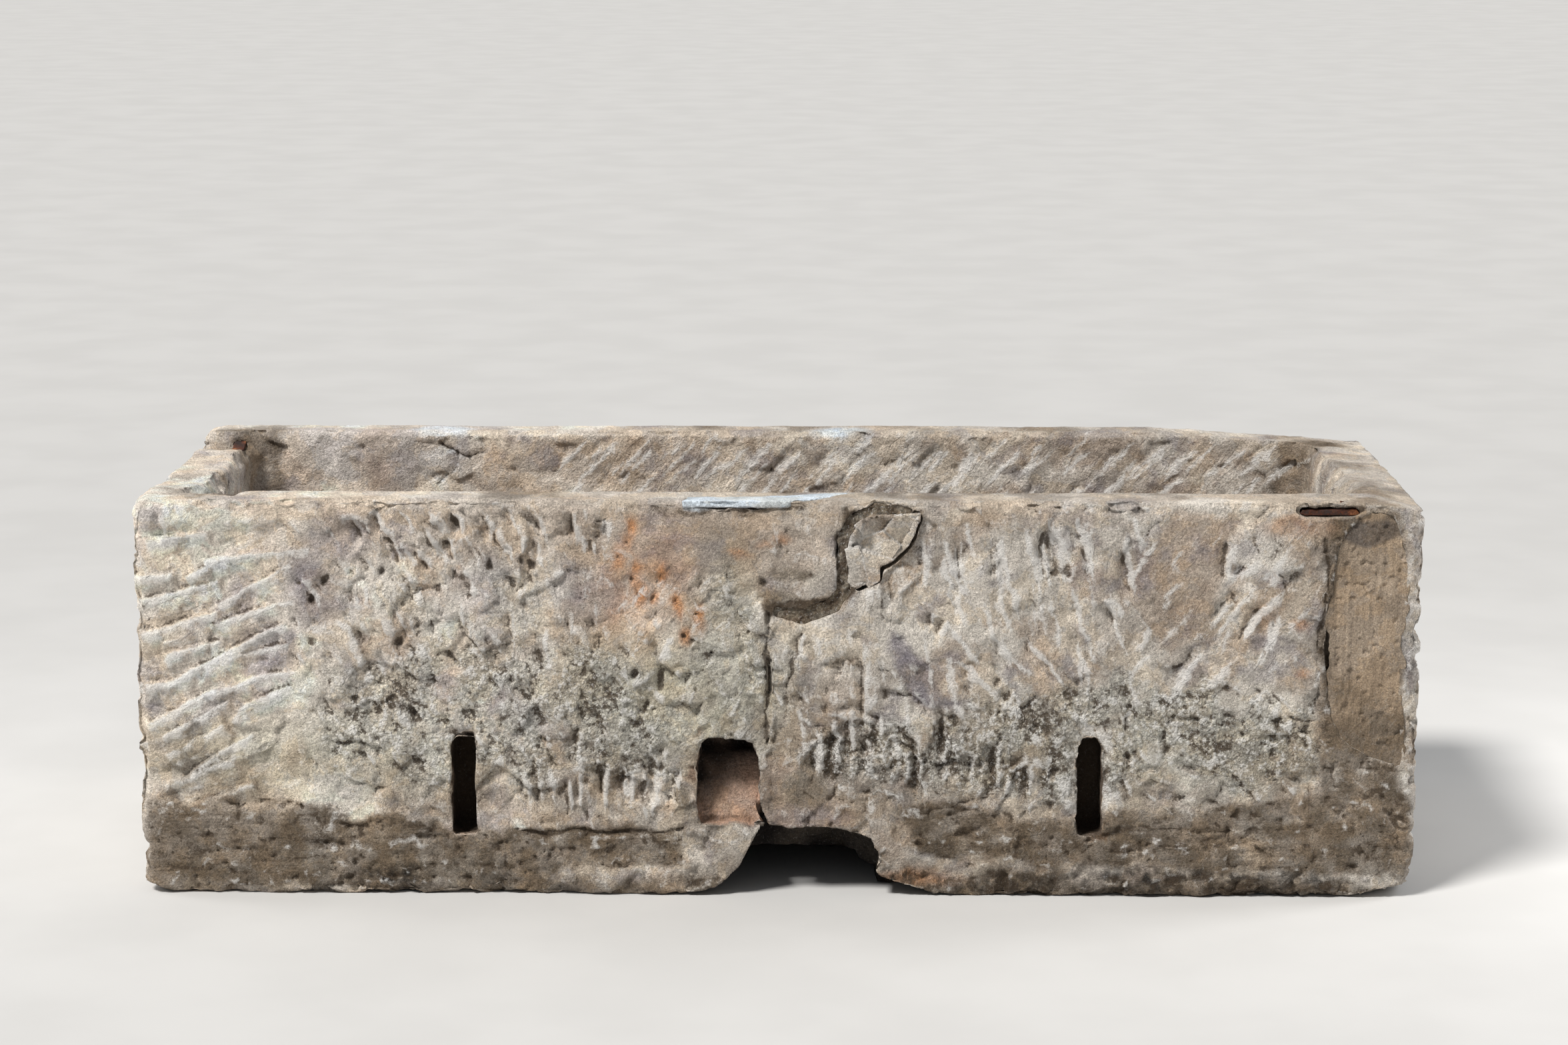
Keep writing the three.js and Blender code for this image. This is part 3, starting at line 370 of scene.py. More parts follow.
    def scatter(self, u_range, v_range, pitch, slant, length, width, depth, chalk_and_highlight, dirt_and_shade, inside=None):
        """Chisel furrows on a shaken grid; slant is a function of place, in degrees."""
        for u in np.arange(u_range[0], u_range[1], pitch[0]):
            for v in np.arange(v_range[0], v_range[1], pitch[1]):
                shake = rng.random(7)
                cu = u + pitch[0] * (shake[0] - 0.5)
                cv = v + pitch[1] * (shake[1] - 0.5)
                if inside is not None and not inside(cu, cv):
                    continue
                angle = math.radians(slant(cu, cv) + 16.0 * (shake[2] - 0.5))
                half = 0.5 * length * (0.6 + 0.8 * shake[3])
                across = width * (0.7 + 0.6 * shake[4])
                deep = depth * (0.4 + 0.9 * shake[5])
                run_u, run_v = half * math.cos(angle), half * math.sin(angle)
                strength = 0.4 + 0.8 * shake[6]
                self.stroke(cu - run_u, cv - run_v, cu + run_u, cv + run_v, across, deep,
                            chalk_and_highlight * strength, dirt_and_shade * strength)

    def sample(self, values, u, v):
        """Values of the grid at places between its cells."""
        x = np.clip((u - self.u0) / PANEL_CELL, 0, self.columns - 1.001)
        y = np.clip((v - self.v0) / PANEL_CELL, 0, self.rows - 1.001)
        ix, iy = x.astype(int), y.astype(int)
        fx, fy = x - ix, y - iy
        low = values[iy, ix] * (1 - fx) + values[iy, ix + 1] * fx
        high = values[iy + 1, ix] * (1 - fx) + values[iy + 1, ix + 1] * fx
        return low * (1 - fy) + high * fy


def segment_distance(pu, pv, au, av, bu, bv):
    du, dv = bu - au, bv - av
    share = np.clip(((pu - au) * du + (pv - av) * dv) / max(du * du + dv * dv, 1e-9), 0.0, 1.0)
    return np.hypot(pu - au - share * du, pv - av - share * dv)


def stone_ground(panel, broad=2.6, fine=1.0):
    """The uneven surface that the chisel left, before any marked furrow."""
    shift = panel.shift
    panel.relief += broad * panel.octaves(210.0, 3, shift)
    large, edge = hewn(panel.warp_u, panel.warp_v, 58.0, 0.10, shift)
    small, small_edge = hewn(panel.warp_u, panel.warp_v, 24.0, 0.12, shift + 2.0)
    panel.relief += fine * (large + small + 0.6 * panel.octaves(15.0, 3, shift + 4.0))
    # Darker along the low edges of the small facets and paler along the facet edges: partly dirt and
    # bruised stone, partly painted shade and highlights.
    panel.stain("dirt_and_shade", 0.35 * fine * ramp(0.10, 0.02, small_edge) * ramp(0.1, -0.8, small))
    panel.stain("chalk_and_highlight", 0.22 * fine * ramp(0.14, 0.02, edge))
    panel.clouds(("dirt_and_shade", 0.30, 0.2, 1.0, 34.0, 4, shift + 10.0))
    for name, amount, low, high, size, step in [("cream", 0.75, 0.0, 0.4, 90.0, 7.0),
                                                ("tan", 0.75, 0.1, 0.5, 70.0, 8.0),
                                                ("violet", 0.6, 0.4, 0.8, 50.0, 9.0)]:
        panel.stain(name, amount * ramp(low, high, panel.octaves(size, 5, shift + step, 0.62)))


def box_blur(values, radius):
    """Mean of a square of cells around each one, taken twice."""
    size = 2 * radius + 1
    for _ in range(2):
        for axis in (0, 1):
            pads = [(radius + 1, radius) if i == axis else (0, 0) for i in (0, 1)]
            total = np.cumsum(np.pad(values, pads, mode="edge"), axis=axis)
            ahead = np.take(total, range(size, total.shape[axis]), axis=axis)
            behind = np.take(total, range(0, total.shape[axis] - size), axis=axis)
            values = (ahead - behind) / size
    return values


def relief_shade_dirt_and_highlights(panel):
    """Darkens the hollows of the relief and pales its ridges: partly dirt and rubbed wear, partly painted
    shade in the hollows and painted highlights on the ridges.
    """
    broad = panel.relief - box_blur(panel.relief, 8)
    calm = 1.0 - 0.8 * panel.stains["shelving"]
    panel.stains["dirt_and_shade"] = np.clip(panel.stains["dirt_and_shade"] + 0.55 * calm * ramp(0.6, 4.2, -broad), 0, 1)
    panel.stains["chalk_and_highlight"] = np.clip(panel.stains["chalk_and_highlight"] + 0.38 * ramp(0.5, 3.0, broad), 0, 1)


# The front face

def chance(key):
    """The same number from 0 to 1 that the part's source draws for a key."""
    wave = math.sin(key * 127.1 + 311.7) * 43758.5453
    return wave - math.floor(wave)


# Furrows cut in the solid: first and last place as shares of length and height, count, length, slants
STROKE_WIDTH = 21.0
STROKE_DEPTH = 11.0
FRONT_ROWS = [
    ((-0.462, 0.26), (-0.462, 0.79), 8, 118, (15, 18)),
    ((-0.405, 0.36), (-0.402, 0.87), 6, 122, (30, 33)),
    ((-0.31, 0.93), (-0.14, 0.93), 9, 48, (-50, -86)),
    ((-0.29, 0.86), (-0.155, 0.87), 6, 44, (-62, -84)),
    ((-0.36, 0.74), (-0.2, 0.78), 5, 36, (-70, -110)),
    ((0.11, 0.85), (0.27, 0.83), 6, 96, (-84, -78)),
    ((0.14, 0.72), (0.26, 0.71), 5, 74, (-78, -72)),
    ((0.345, 0.73), (0.385, 0.67), 3, 84, (56, 74)),
    ((0.028, 0.37), (0.21, 0.31), 10, 88, (-88, -96)),
    ((-0.196, 0.27), (-0.079, 0.28), 7, 84, (-86, -94)),
    ((0.212, 0.87), (0.218, 0.87), 2, 84, (-70, -62)),
    ((0.15, 0.17), (0.36, 0.14), 3, 110, (24, 8)),
    ((-0.42, 0.12), (-0.12, 0.155), 5, 130, (-4, 3)),
]
BACK_ROWS = [
    ((-0.42, 0.78), (0.4, 0.78), 8, 150, (38, 52)),
    ((-0.39, 0.52), (0.43, 0.52), 8, 150, (38, 52)),
    ((-0.36, 0.27), (0.46, 0.27), 8, 150, (38, 52)),
]
INNER_BACK_ROWS = [
    ((-0.19, 0.915), (0.435, 0.915), 21, 96, (48, 42)),
    ((-0.3, 0.7), (0.4, 0.68), 10, 130, (50, 44)),
]


def solid_furrows(panel, rows, first_key, chalk_and_highlight, dirt_and_shade, depth=2.0, filled=0.0, widening=1.0):
    """Dresses the furrows that the solid already has, and may take back a share of their depth."""
    for row_number, (first, last, count, length, slants) in enumerate(rows):
        for i in range(count):
            t = i / (count - 1)
            seed = (first_key + row_number) * 31 + i * 7
            slant = slants[0] + (slants[1] - slants[0]) * t + 8 * (chance(seed) - 0.5)
            reach = length / 2 * (0.8 + 0.4 * chance(seed + 1))
            u = (first[0] + (last[0] - first[0]) * t) * LENGTH + 14 * (chance(seed + 2) - 0.5)
            v = (first[1] + (last[1] - first[1]) * t) * HEIGHT + 14 * (chance(seed + 3) - 0.5)
            width = STROKE_WIDTH * (0.8 + 0.5 * chance(seed + 4))
            run_u = reach * math.cos(math.radians(slant))
            run_v = reach * math.sin(math.radians(slant))
            ends = (u - run_u, v - run_v, u + run_u, v + run_v)
            panel.fill(*ends, width, 0.35 + 0.3 * chance(seed + 5), filled * STROKE_DEPTH)
            panel.stroke(*ends, width * widening, depth, chalk_and_highlight, dirt_and_shade)


# Stained patches of the front: name, amount, softness, how the grain varies them, and places with radii
FRONT_PATCHES = [
    ("cream", 0.85, 0.45, 0.8, 0.5, [(360, 500, 200, 130)]),
    ("cream", 0.7, 0.45, 1.0, 0.0, [(90, 400, 80, 70)]),
    ("cream", 0.8, 0.6, 1.0, 0.0, [(-660, 470, 70, 50)]),
    ("violet", 0.85, 0.6, 0.75, 0.5, [
        (-700, 605, 60, 34), (-770, 520, 40, 55), (-735, 480, 40, 30), (-840, 430, 30, 45),
        (-820, 400, 40, 18), (-868, 500, 20, 32), (-1030, 315, 22, 16), (-1010, 250, 20, 14),
        (-500, 520, 60, 60), (-480, 430, 40, 30), (-330, 520, 32, 40), (-280, 500, 30, 40),
        (-640, 300, 46, 26), (-560, 360, 60, 30), (700, 300, 70, 22), (-400, 300, 60, 34),
        (1030, 420, 16, 70), (760, 600, 30, 24)]),
    ("green", 0.85, 0.7, 1.0, 0.0, [(-150, 340, 180, 110)]),
    ("green", 0.7, 0.7, 1.0, 0.0, [(-760, 230, 280, 70)]),
    ("green", 0.5, 0.7, 1.0, 0.0, [(640, 250, 300, 80)]),
    ("green", 0.55, 0.8, 1.0, 0.0, [(-100, 500, 60, 90)]),
    ("tan", 0.7, 0.5, 1.0, 0.0, [(-20, 600, 260, 60)]),
    ("tan", 0.9, 0.6, 0.7, 0.6, [(-500, 620, 330, 50)]),
    ("pink", 0.5, 0.6, 1.0, 0.0, [(60, 330, 90, 60), (-130, 200, 22, 80)]),
]


def front_colours(panel):
    """Broad stains of the front face, and which way the fine tool marks run there."""
    u, v = panel.u, panel.v
    grain = panel.octaves(60.0, 4, 31.0)
    left_margin = 1.0 - ramp(-880.0, -720.0, panel.warp_u + 40 * grain)
    panel.stain("cream", left_margin * (1.25 + 0.3 * grain) * ramp(110, 190, v))
    panel.clean("dirt_and_shade", 0.7 * left_margin)
    panel.clean("tan", 0.5 * left_margin)
    panel.stain("shelving", left_margin * ramp(130, 180, v))
    right_end = ramp(560, 640, u)
    left_of_repair = ramp(-330, -230, u) * (1 - ramp(-40, 20, u))
    panel.stain("upright", ramp(-800, -700, u) * (1 - right_end) * (1 - 0.7 * left_of_repair))
    panel.stain("rising", np.maximum(right_end, left_of_repair))
    panel.blots(FRONT_PATCHES, grain)
    # A pale strip at the right corner: partly the marble's paler edge, partly a painted highlight where the
    # side light catches the corner.
    strip = ramp(1006.0, 1026.0, panel.warp_u) * ramp(110, 200, v)
    panel.stain("cream", 1.3 * strip)
    panel.stain("chalk_and_highlight", 0.35 * strip)
    panel.clean("dirt_and_shade", 0.7 * strip)
    wedge = panel.area([(182, 445), (205, 440), (290, 330), (330, 318), (240, 322), (205, 350)], 7, 1.4)
    panel.stain("violet", 0.95 * wedge)
    flake = panel.area([(600, 560), (640, 650), (730, 640), (725, 520), (700, 440), (640, 455)], 8, 1.6)
    panel.relief = panel.relief * (1 - 0.7 * flake)
    panel.stain("tan", 0.95 * flake)
    for bare in (wedge, flake):
        panel.clean("cream", 0.8 * bare)
    beside_recess = [(-25, 245), (15, 250), (40, 200), (110, 160), (130, 112), (-20, 105)]
    panel.stain("pink", 0.8 * panel.area(beside_recess, 8, 1.6))
    lower = ramp(330, 150, v + 60 * grain)
    panel.stain("mortar", 0.55 * lower * ramp(-0.5, 0.7, panel.octaves(60.0, 4, 33.0)))


def front_crust(panel):
    """Granular lichen and lime crusts in the lower half."""
    patches = octaves(panel.warp_u, panel.warp_v, 46.0, 5, 41.0, falloff=0.62)
    left = panel.area([(-760, 250), (-720, 380), (-560, 455), (-250, 430), (-170, 300), (-150, 190),
                       (-560, 170), (-730, 200)], 55, 2.5)
    right = panel.area([(60, 190), (40, 290), (300, 320), (420, 345), (560, 400), (880, 345), (885, 180),
                        (500, 150)], 40, 2.5)
    upper = panel.blot(-520, 500, 250, 80, soft=0.7)
    centre = panel.blot(-130, 340, 160, 130, soft=0.7)
    zone = np.maximum.reduce([left, right, 0.55 * upper, 0.5 * centre])
    crust = zone * ramp(0.20, 0.62, 0.62 * zone + 0.45 * patches)
    for place in [(-145, 580, 14, 12), (-90, 540, 22, 16), (-84, 500, 17, 22), (-60, 470, 24, 14),
                  (-50, 430, 22, 18), (-30, 380, 20, 26)]:
        crust = np.maximum(crust, 0.85 * panel.blot(*place, soft=0.7))
    panel.stain("crust", crust)
    lumps = panel.octaves(13.0, 3, 43.0, falloff=0.65)
    clots = panel.octaves(38.0, 3, 44.0)
    panel.relief += crust * (1.5 * lumps + 1.6 * clots)
    # Darker in the low parts of the lumps and paler on the high ones: partly dirt and lime, partly painted
    # shade and highlights.
    panel.stain("dirt_and_shade", crust * (0.8 * ramp(0.35, 0.8, -lumps) + 0.4 * ramp(0.2, 0.8, -clots)))
    panel.stain("chalk_and_highlight", 0.7 * crust * ramp(0.25, 0.85, lumps + 0.4 * clots))
    panel.stain("dirt_and_shade", 0.6 * (right * ramp(0.1, 0.8, panel.octaves(50.0, 4, 45.0))))


def front_scatter(panel):
    """Lesser chisel furrows, zone by zone."""
    def clear_of_repair(u, v):
        return not (-255 < u < 0 and v > 540) and not (100 < u < 250 and v > 480)

    # Ranges, pitch, slant in degrees, length, width, depth, and the strength of the pale edge and of the
    # dark line of each zone, which are partly painted highlight and painted shade
    for zone in [
        ((-1050, -770), (160, 650), (95, 46), lambda u, v: 14 + 20 * float(ramp(-980.0, -820.0, u)),
         80, 28, 1.6, 0.4, 0.25),
        ((-770, -250), (430, 645), (48, 42), lambda u, v: -62 - 26 * (u + 770) / 520,
         40, 20, 3.8, 0.7, 0.75),
        ((-770, -200), (235, 450), (46, 40), lambda u, v: -58, 34, 20, 3.4, 0.6, 0.75),
        ((-1040, -560), (140, 260), (90, 40), lambda u, v: 20, 80, 24, 1.3, 0.35, 0.25),
        ((-240, 0), (245, 540), (48, 46), lambda u, v: 62, 44, 18, 2.8, 0.6, 0.55),
        ((0, 180), (230, 480), (44, 50), lambda u, v: -78, 46, 20, 2.8, 0.6, 0.55),
        ((180, 600), (330, 640), (48, 80), lambda u, v: -76, 84, 26, 2.6, 1.0, 0.35, clear_of_repair),
        ((60, 890), (170, 340), (46, 40), lambda u, v: -70 + 60 * math.sin(u / 90), 40, 20, 3.6, 0.7, 0.85),
        ((600, 890), (320, 640), (56, 66), lambda u, v: 58, 70, 24, 2.2, 0.9, 0.35),
        ((-430, -150), (120, 250), (42, 60), lambda u, v: -88, 60, 18, 3.2, 0.6, 0.7),
        ((50, 460), (140, 320), (40, 72), lambda u, v: -92, 66, 20, 3.6, 0.6, 0.8),
    ]:
        panel.scatter(*zone)


# Shelving cuts at the left end: first and last place, and width
PLANKS = [
    (-1050, 539, -990, 542, 42), (-958, 538, -930, 552, 36), (-1060, 498, -985, 507, 48),
    (-985, 507, -916, 528, 48), (-925, 565, -843, 579, 46), (-843, 579, -767, 587, 46),
    (-1046, 442, -974, 462, 50), (-974, 462, -919, 479, 50), (-909, 493, -859, 521, 46),
    (-859, 521, -799, 558, 46), (-920, 458, -843, 485, 44), (-843, 485, -794, 499, 40),
    (-996, 408, -914, 430, 36), (-1044, 356, -990, 364, 48), (-990, 364, -897, 413, 46),
    (-897, 413, -810, 457, 42), (-897, 403, -805, 425, 34), (-1030, 290, -944, 336, 44),
    (-944, 336, -843, 372, 42), (-843, 372, -788, 380, 40), (-1007, 270, -905, 325, 36),
    (-892, 297, -876, 320, 40), (-876, 320, -800, 353, 40), (-1001, 240, -914, 287, 44),
    (-963, 212, -865, 270, 42), (-1004, 190, -900, 228, 38), (-960, 152, -870, 190, 34),
    (-1020, 598, -930, 612, 34),
]


def front_planks(panel):
    """The long shelving cuts at the left end: overlapping boards, each with a bright upper edge that is
    partly pale stone and partly a painted highlight, under a dark line that is painted shadow.
    """
    rise = pale = dark = np.zeros_like(panel.u)
    waver = 2.6 * panel.octaves(34.0, 3, 211.0)
    worn = ramp(-0.9, 0.5, panel.octaves(46.0, 3, 212.0))
    for u0, v0, u1, v1, width in PLANKS:
        reach = math.hypot(u1 - u0, v1 - v0)
        du, dv = (u1 - u0) / reach, (v1 - v0) / reach
        along = (panel.u - u0) * du + (panel.v - v0) * dv
        across = ((panel.u - u0) * dv - (panel.v - v0) * du + waver) / width
        ends = ramp(-12, -2, along) * (1 - ramp(reach + 2, reach + 14, along))
        board = ramp(-0.03, 0.10, across) * np.clip(1.12 - across, 0.0, 1.0) * ends
        rise = np.maximum(rise, board)
        crest_highlight = ramp(0.0, 0.09, across) * np.exp(-np.clip(across - 0.09, 0.0, 3.0) / 0.26) * ends
        pale = np.maximum(pale, crest_highlight * (0.35 + 0.65 * worn))
        line = np.exp(-(((across + 0.05) / 0.085) ** 2)) * ends
        dark = np.maximum(dark, line * (0.25 + 0.75 * worn))
    zone = ramp(-770, -830, panel.warp_u) * ramp(120, 170, panel.v) * ramp(635, 600, panel.v)
    panel.relief -= PLANK_DEPTH * zone * (1.0 - rise)
    # Painted light: the pale crests are highlights where the boards catch the light, the dark lines the
    # shadow in the crevice above each crest.
    panel.stain("chalk_and_highlight", 1.15 * pale)
    panel.stain("dirt_and_shade", 0.95 * dark)
    panel.stain("tan", 0.45 * zone * ramp(0.75, 0.25, rise))


# Furrows that stand out in the photograph, by their first and last places: pale ones, and dark deep ones
PALE_FURROWS = [
    (-180, 440, -200, 400), (770, 530, 705, 435), (785, 490, 755, 440), (803, 470, 795, 425),
    (555, 600, 575, 500), (230, 600, 234, 520), (260, 600, 300, 500), (355, 600, 357, 540),
    (365, 540, 390, 475), (395, 620, 420, 500), (540, 500, 560, 465), (528, 500, 548, 465),
    (270, 450, 330, 385), (340, 440, 400, 370), (400, 430, 470, 350), (290, 395, 350, 335),
    (820, 600, 800, 520), (690, 420, 640, 350), (300, 630, 312, 560), (480, 640, 500, 560),
]
DARK_FURROWS = [
    (-660, 640, -640, 605), (-640, 605, -610, 555), (-575, 620, -555, 570), (-590, 580, -565, 540),
    (-530, 640, -515, 605), (-540, 600, -525, 560), (-472, 620, -471, 590), (-420, 605, -419, 575),
    (-388, 630, -387, 600), (-335, 645, -333, 600), (-305, 600, -303, 570), (-280, 635, -279, 600),
    (248, 480, 250, 455), (728, 600, 727, 535), (745, 540, 765, 560), (-1003, 640, -1002, 590),
    (57, 250, 58, 175), (90, 300, 90, 190), (117, 300, 118, 230), (140, 270, 142, 200),
    (165, 312, 166, 258), (205, 250, 206, 190), (230, 240, 232, 180), (273, 290, 273, 235),
    (355, 240, 356, 170), (408, 230, 409, 165), (-395, 235, -396, 150), (-345, 200, -344, 130),
    (-285, 225, -285, 165), (-255, 220, -256, 160), (-220, 215, -220, 155), (-165, 215, -166, 150),
    (140, 400, 142, 285), (38, 447, 33, 400), (272, 470, 262, 440),
]
PITS = [
    (-643, 550), (-735, 530), (-690, 545), (-527, 540), (-555, 515), (-758, 500), (-760, 430),
    (-620, 427), (-470, 560), (-402, 558), (-537, 587), (-430, 528), (-235, 380), (-315, 190),
    (360, 365), (-20, 530), (820, 300), (640, 250), (520, 280), (-690, 330), (-600, 300),
]


def front_notable(panel):
    """Furrows and pits that stand out in the photograph."""
    for furrows, width, depth, chalk_and_highlight, dirt_and_shade in ((PALE_FURROWS, 26, 3.4, 1.3, 0.3),
                                               (DARK_FURROWS, 22, 7.5, 1.05, 1.2)):
        for furrow in furrows:
            panel.stroke(*furrow, width, depth, chalk_and_highlight, dirt_and_shade)
    for u, v in PITS:
        panel.pit(u, v, 9, 7)


def front_rust(panel):
    """Orange stains that run down from iron fixings now lost, with their small holes."""
    panel.stain("rust", 0.30 * panel.blot(-205, 520, 75, 90, slant=-35, soft=0.8))
    for u, v, size in [(-255, 570, 11), (-237, 620, 9), (-225, 555, 9), (-218, 508, 12), (-183, 543, 9),
                       (-160, 490, 10), (-123, 475, 8), (-125, 460, 10), (-148, 440, 8), (-242, 595, 9),
                       (-228, 530, 8), (-195, 500, 7)]:
        panel.stain("rust", 0.8 * panel.blot(u, v + size * 0.3, size, size * 2.0, soft=0.7))
        panel.pit(u - 3, v + 4, 5, 5, dirt_and_shade=0.9)
    for amount, *place in [(0.5, -60, 578, 16, 8), (0.45, 10, 600, 14, 8), (0.55, 835, 625, 50, 16),
                           (0.75, 850, 460, 16, 10), (0.4, 860, 380, 10, 8), (0.4, 230, 30, 70, 12),
                           (0.15, 150, 560, 20, 12), (0.15, 800, 470, 20, 26), (0.4, -20, 590, 10, 6)]:
        panel.stain("rust", amount * panel.blot(*place, soft=0.7))


def calmed(panel, mask, relief_share, names, share):
    """Rubs out a share of the relief and of the named stains under a mask."""
    panel.relief = panel.relief * (1 - relief_share * mask)
    for name in names:
        panel.clean(name, share * mask)


def centre_repair(panel):
    """Smoothed patch under the rim in the middle, with brush lines, and the block right of it."""
    smooth = panel.area([(-255, 665), (-250, 590), (-215, 545), (-60, 535), (-20, 545), (-15, 640),
                         (100, 665)], 12, 1.6)
    brushed = plane_noise(panel.warp_u, panel.warp_v, 150.0, 4.0, 51.0)
    calmed(panel, smooth, 0.7, ("crust", "chalk_and_highlight", "dirt_and_shade"), 0.6)
    panel.relief += smooth * (0.7 * brushed - 1.0)
    panel.stain("tan", 0.75 * smooth)
    for name in ("upright", "rising"):
        panel.clean(name, 0.85 * smooth)
    right_block = [(-12, 640), (-14, 262), (20, 262), (60, 430), (105, 520), (100, 640)]
    panel.relief += 2.5 * panel.area(right_block, 5, 1.2)


def base_mortar(panel):
    """Brown mortar trowelled over the foot and down the right end."""
    left = panel.area([(-1060, -20), (-1060, 172), (-1000, 174), (-950, 152), (-860, 156), (-780, 149),
                       (-700, 140), (-640, 126), (-520, 118), (-430, 112), (-300, 116), (-150, 112),
                       (-140, 60), (-300, 40), (-560, 16), (-900, 8), (-1010, -20)], 7, 3.2)
    right = panel.area([(190, 150), (280, 168), (360, 150), (430, 132), (560, 150), (700, 150), (830, 165),
                        (884, 190), (884, 640), (935, 655), (1004, 645), (1012, 420), (1014, 200),
                        (1060, 130), (1060, 40), (860, 36), (430, 56), (230, 66)], 9, 2.0)
    trowel = plane_noise(panel.warp_u, panel.warp_v, 120.0, 7.0, 52.0)
    upright = plane_noise(panel.warp_v, panel.warp_u, 140.0, 6.0, 52.5)
    trowel = np.where(panel.u > 880, upright * ramp(150, 260, panel.v) + trowel * 0.4, trowel)
    lumps = panel.octaves(36.0, 4, 53.0)
    knobs = panel.octaves(15.0, 3, 53.6, falloff=0.65)
    holes = ramp(0.62, 0.9, panel.octaves(12.0, 2, 53.5))
    covered = ("crust", "chalk_and_highlight", "cream", "violet", "green", "shelving", "rising", "upright")
    for base in (left, right):
        calmed(panel, base, 0.55, covered, 0.9)
        panel.relief += base * (1.5 + 1.3 * trowel + 2.4 * lumps + 1.2 * knobs - 3.0 * holes)
        panel.stain("mortar", base * (0.95 + 0.1 * lumps))
        # Paler on the knobs and darker in the low trowel marks and holes: partly grit and dirt, partly
        # painted shade and highlights.
        panel.stain("chalk_and_highlight", base * 0.45 * ramp(0.35, 0.9, knobs + 0.5 * lumps))
        panel.stain("dirt_and_shade", base * (0.75 * ramp(0.25, 0.9, -trowel + 0.6 * lumps) + 0.9 * holes))
        panel.stain("dirt_and_shade", base * 0.65 * ramp(0.3, 0.9, -knobs - 0.6 * lumps))
        panel.stain("dirt_and_shade", 0.5 * base * (1 - ramp(0.5, 1.0, base)))
    panel.stain("upright", right * ramp(870, 900, panel.u) * ramp(150, 230, panel.v))
    panel.stain("green", 0.35 * left * ramp(-0.3, 0.6, panel.octaves(90.0, 3, 53.7)))
    for place in [(48, 185, 34, 32), (-152, 162, 13, 32), (30, 540, 40, 10), (0, 505, 26, 8)]:
        patch = panel.blot(*place, soft=0.35)
        calmed(panel, patch, 0.6, ("crust", "chalk_and_highlight", "pink"), 0.8)
        panel.stain("mortar", 0.75 * patch)
        panel.stain("green", 0.5 * patch)


def broken_foot(panel):
    """Crumbling lower edge, with dark crystals and black crust."""
    broken = 1.0 - ramp(14.0, 52.0, panel.warp_v + 16 * panel.octaves(70.0, 3, 54.0))
    crystals = panel.octaves(13.0, 3, 55.0, falloff=0.7)
    clots = panel.octaves(42.0, 3, 55.5)
    panel.relief += broken * (2.0 * crystals + 2.2 * clots - 1.5)
    panel.stain("mortar", broken * ramp(-800, -500, panel.u))
    panel.stain("dirt_and_shade", broken * ramp(-0.4, 0.4, crystals + 0.5 * clots) * ramp(-900, 300, panel.u))
    panel.stain("chalk_and_highlight", 0.4 * broken * ramp(0.3, 0.9, -crystals))
    black = [(385, 26, 60, 26), (640, 26, 220, 24), (-635, 26, 68, 24), (840, 22, 90, 20)]
    panel.blots([("soot_and_shade", 0.8, 0.6, 0.0, 1.0, black)], ramp(-0.5, 0.4, crystals))


# Cracks and edges of old repairs: places, width, depth and darkening, which is dirt, and painted shadow in
# the step beside the corner fill
FRONT_CRACKS = [
    ([(-12, 480), (-14, 420), (-11, 350), (-15, 262)], 6, 4, 1.0),
    ([(-33, 226), (-32, 150), (-22, 120), (10, 112)], 8, 12, 1.0),
    ([(38, 445), (35, 410), (20, 390), (18, 340), (15, 300)], 6, 4, 0.8),
    ([(-265, 450), (-290, 436), (-290, 420)], 4, 3, 0.8),
    ([(775, 640), (770, 600), (785, 580)], 4, 4, 0.8),
    ([(840, 545), (832, 528), (820, 510)], 5, 4, 0.8),
    ([(745, 655), (752, 640), (775, 640), (790, 655)], 3, 3, 0.7),
    ([(600, 600), (605, 620), (640, 650)], 4, 3, 0.7),
    ([(600, 560), (612, 500), (650, 450), (700, 445)], 4, 2, 0.4),
    ([(425, 610), (430, 575), (450, 545), (475, 545)], 8, 5, 0.9),
    ([(800, 303), (880, 303)], 4, 3, 0.7),
    ([(-900, 150), (-850, 157), (-780, 148)], 4, 3, 0.6),
    ([(-770, 125), (-700, 118), (-640, 126)], 3, 2, 0.6),
    ([(-430, 114), (-380, 102), (-330, 112), (-290, 108), (-230, 104), (-150, 112)], 7, 6, 0.9),
    ([(-910, 130), (-912, 105)], 5, 4, 0.8),
    ([(600, 118), (760, 112)], 3, 2, 0.7),
    ([(620, 86), (740, 90)], 3, 2, 0.7),
    ([(250, 140), (300, 158), (350, 172)], 5, 3, 0.6),
    ([(245, 128), (310, 146)], 4, 2, 0.5),
    # The step left of the corner fill: its dark line is painted shadow of the sunken step.
    ([(882, 330), (880, 400), (886, 470), (896, 560), (890, 600)], 9, 6, 1.0),
    ([(-340, 379), (-325, 381), (-310, 377)], 5, 2, 0.6),
    ([(-190, 380), (-191, 350)], 7, 4, 0.8),
    ([(1012, 640), (1008, 600), (1014, 560), (1010, 500)], 3, 2, 0.6),
    ([(900, 340), (930, 280), (980, 262), (1014, 256)], 4, 3, 0.7),
    ([(930, 140), (980, 90), (1010, 80)], 4, 3, 0.6),
    ([(1000, 150), (1020, 120), (1012, 90)], 5, 3, 0.8),
]


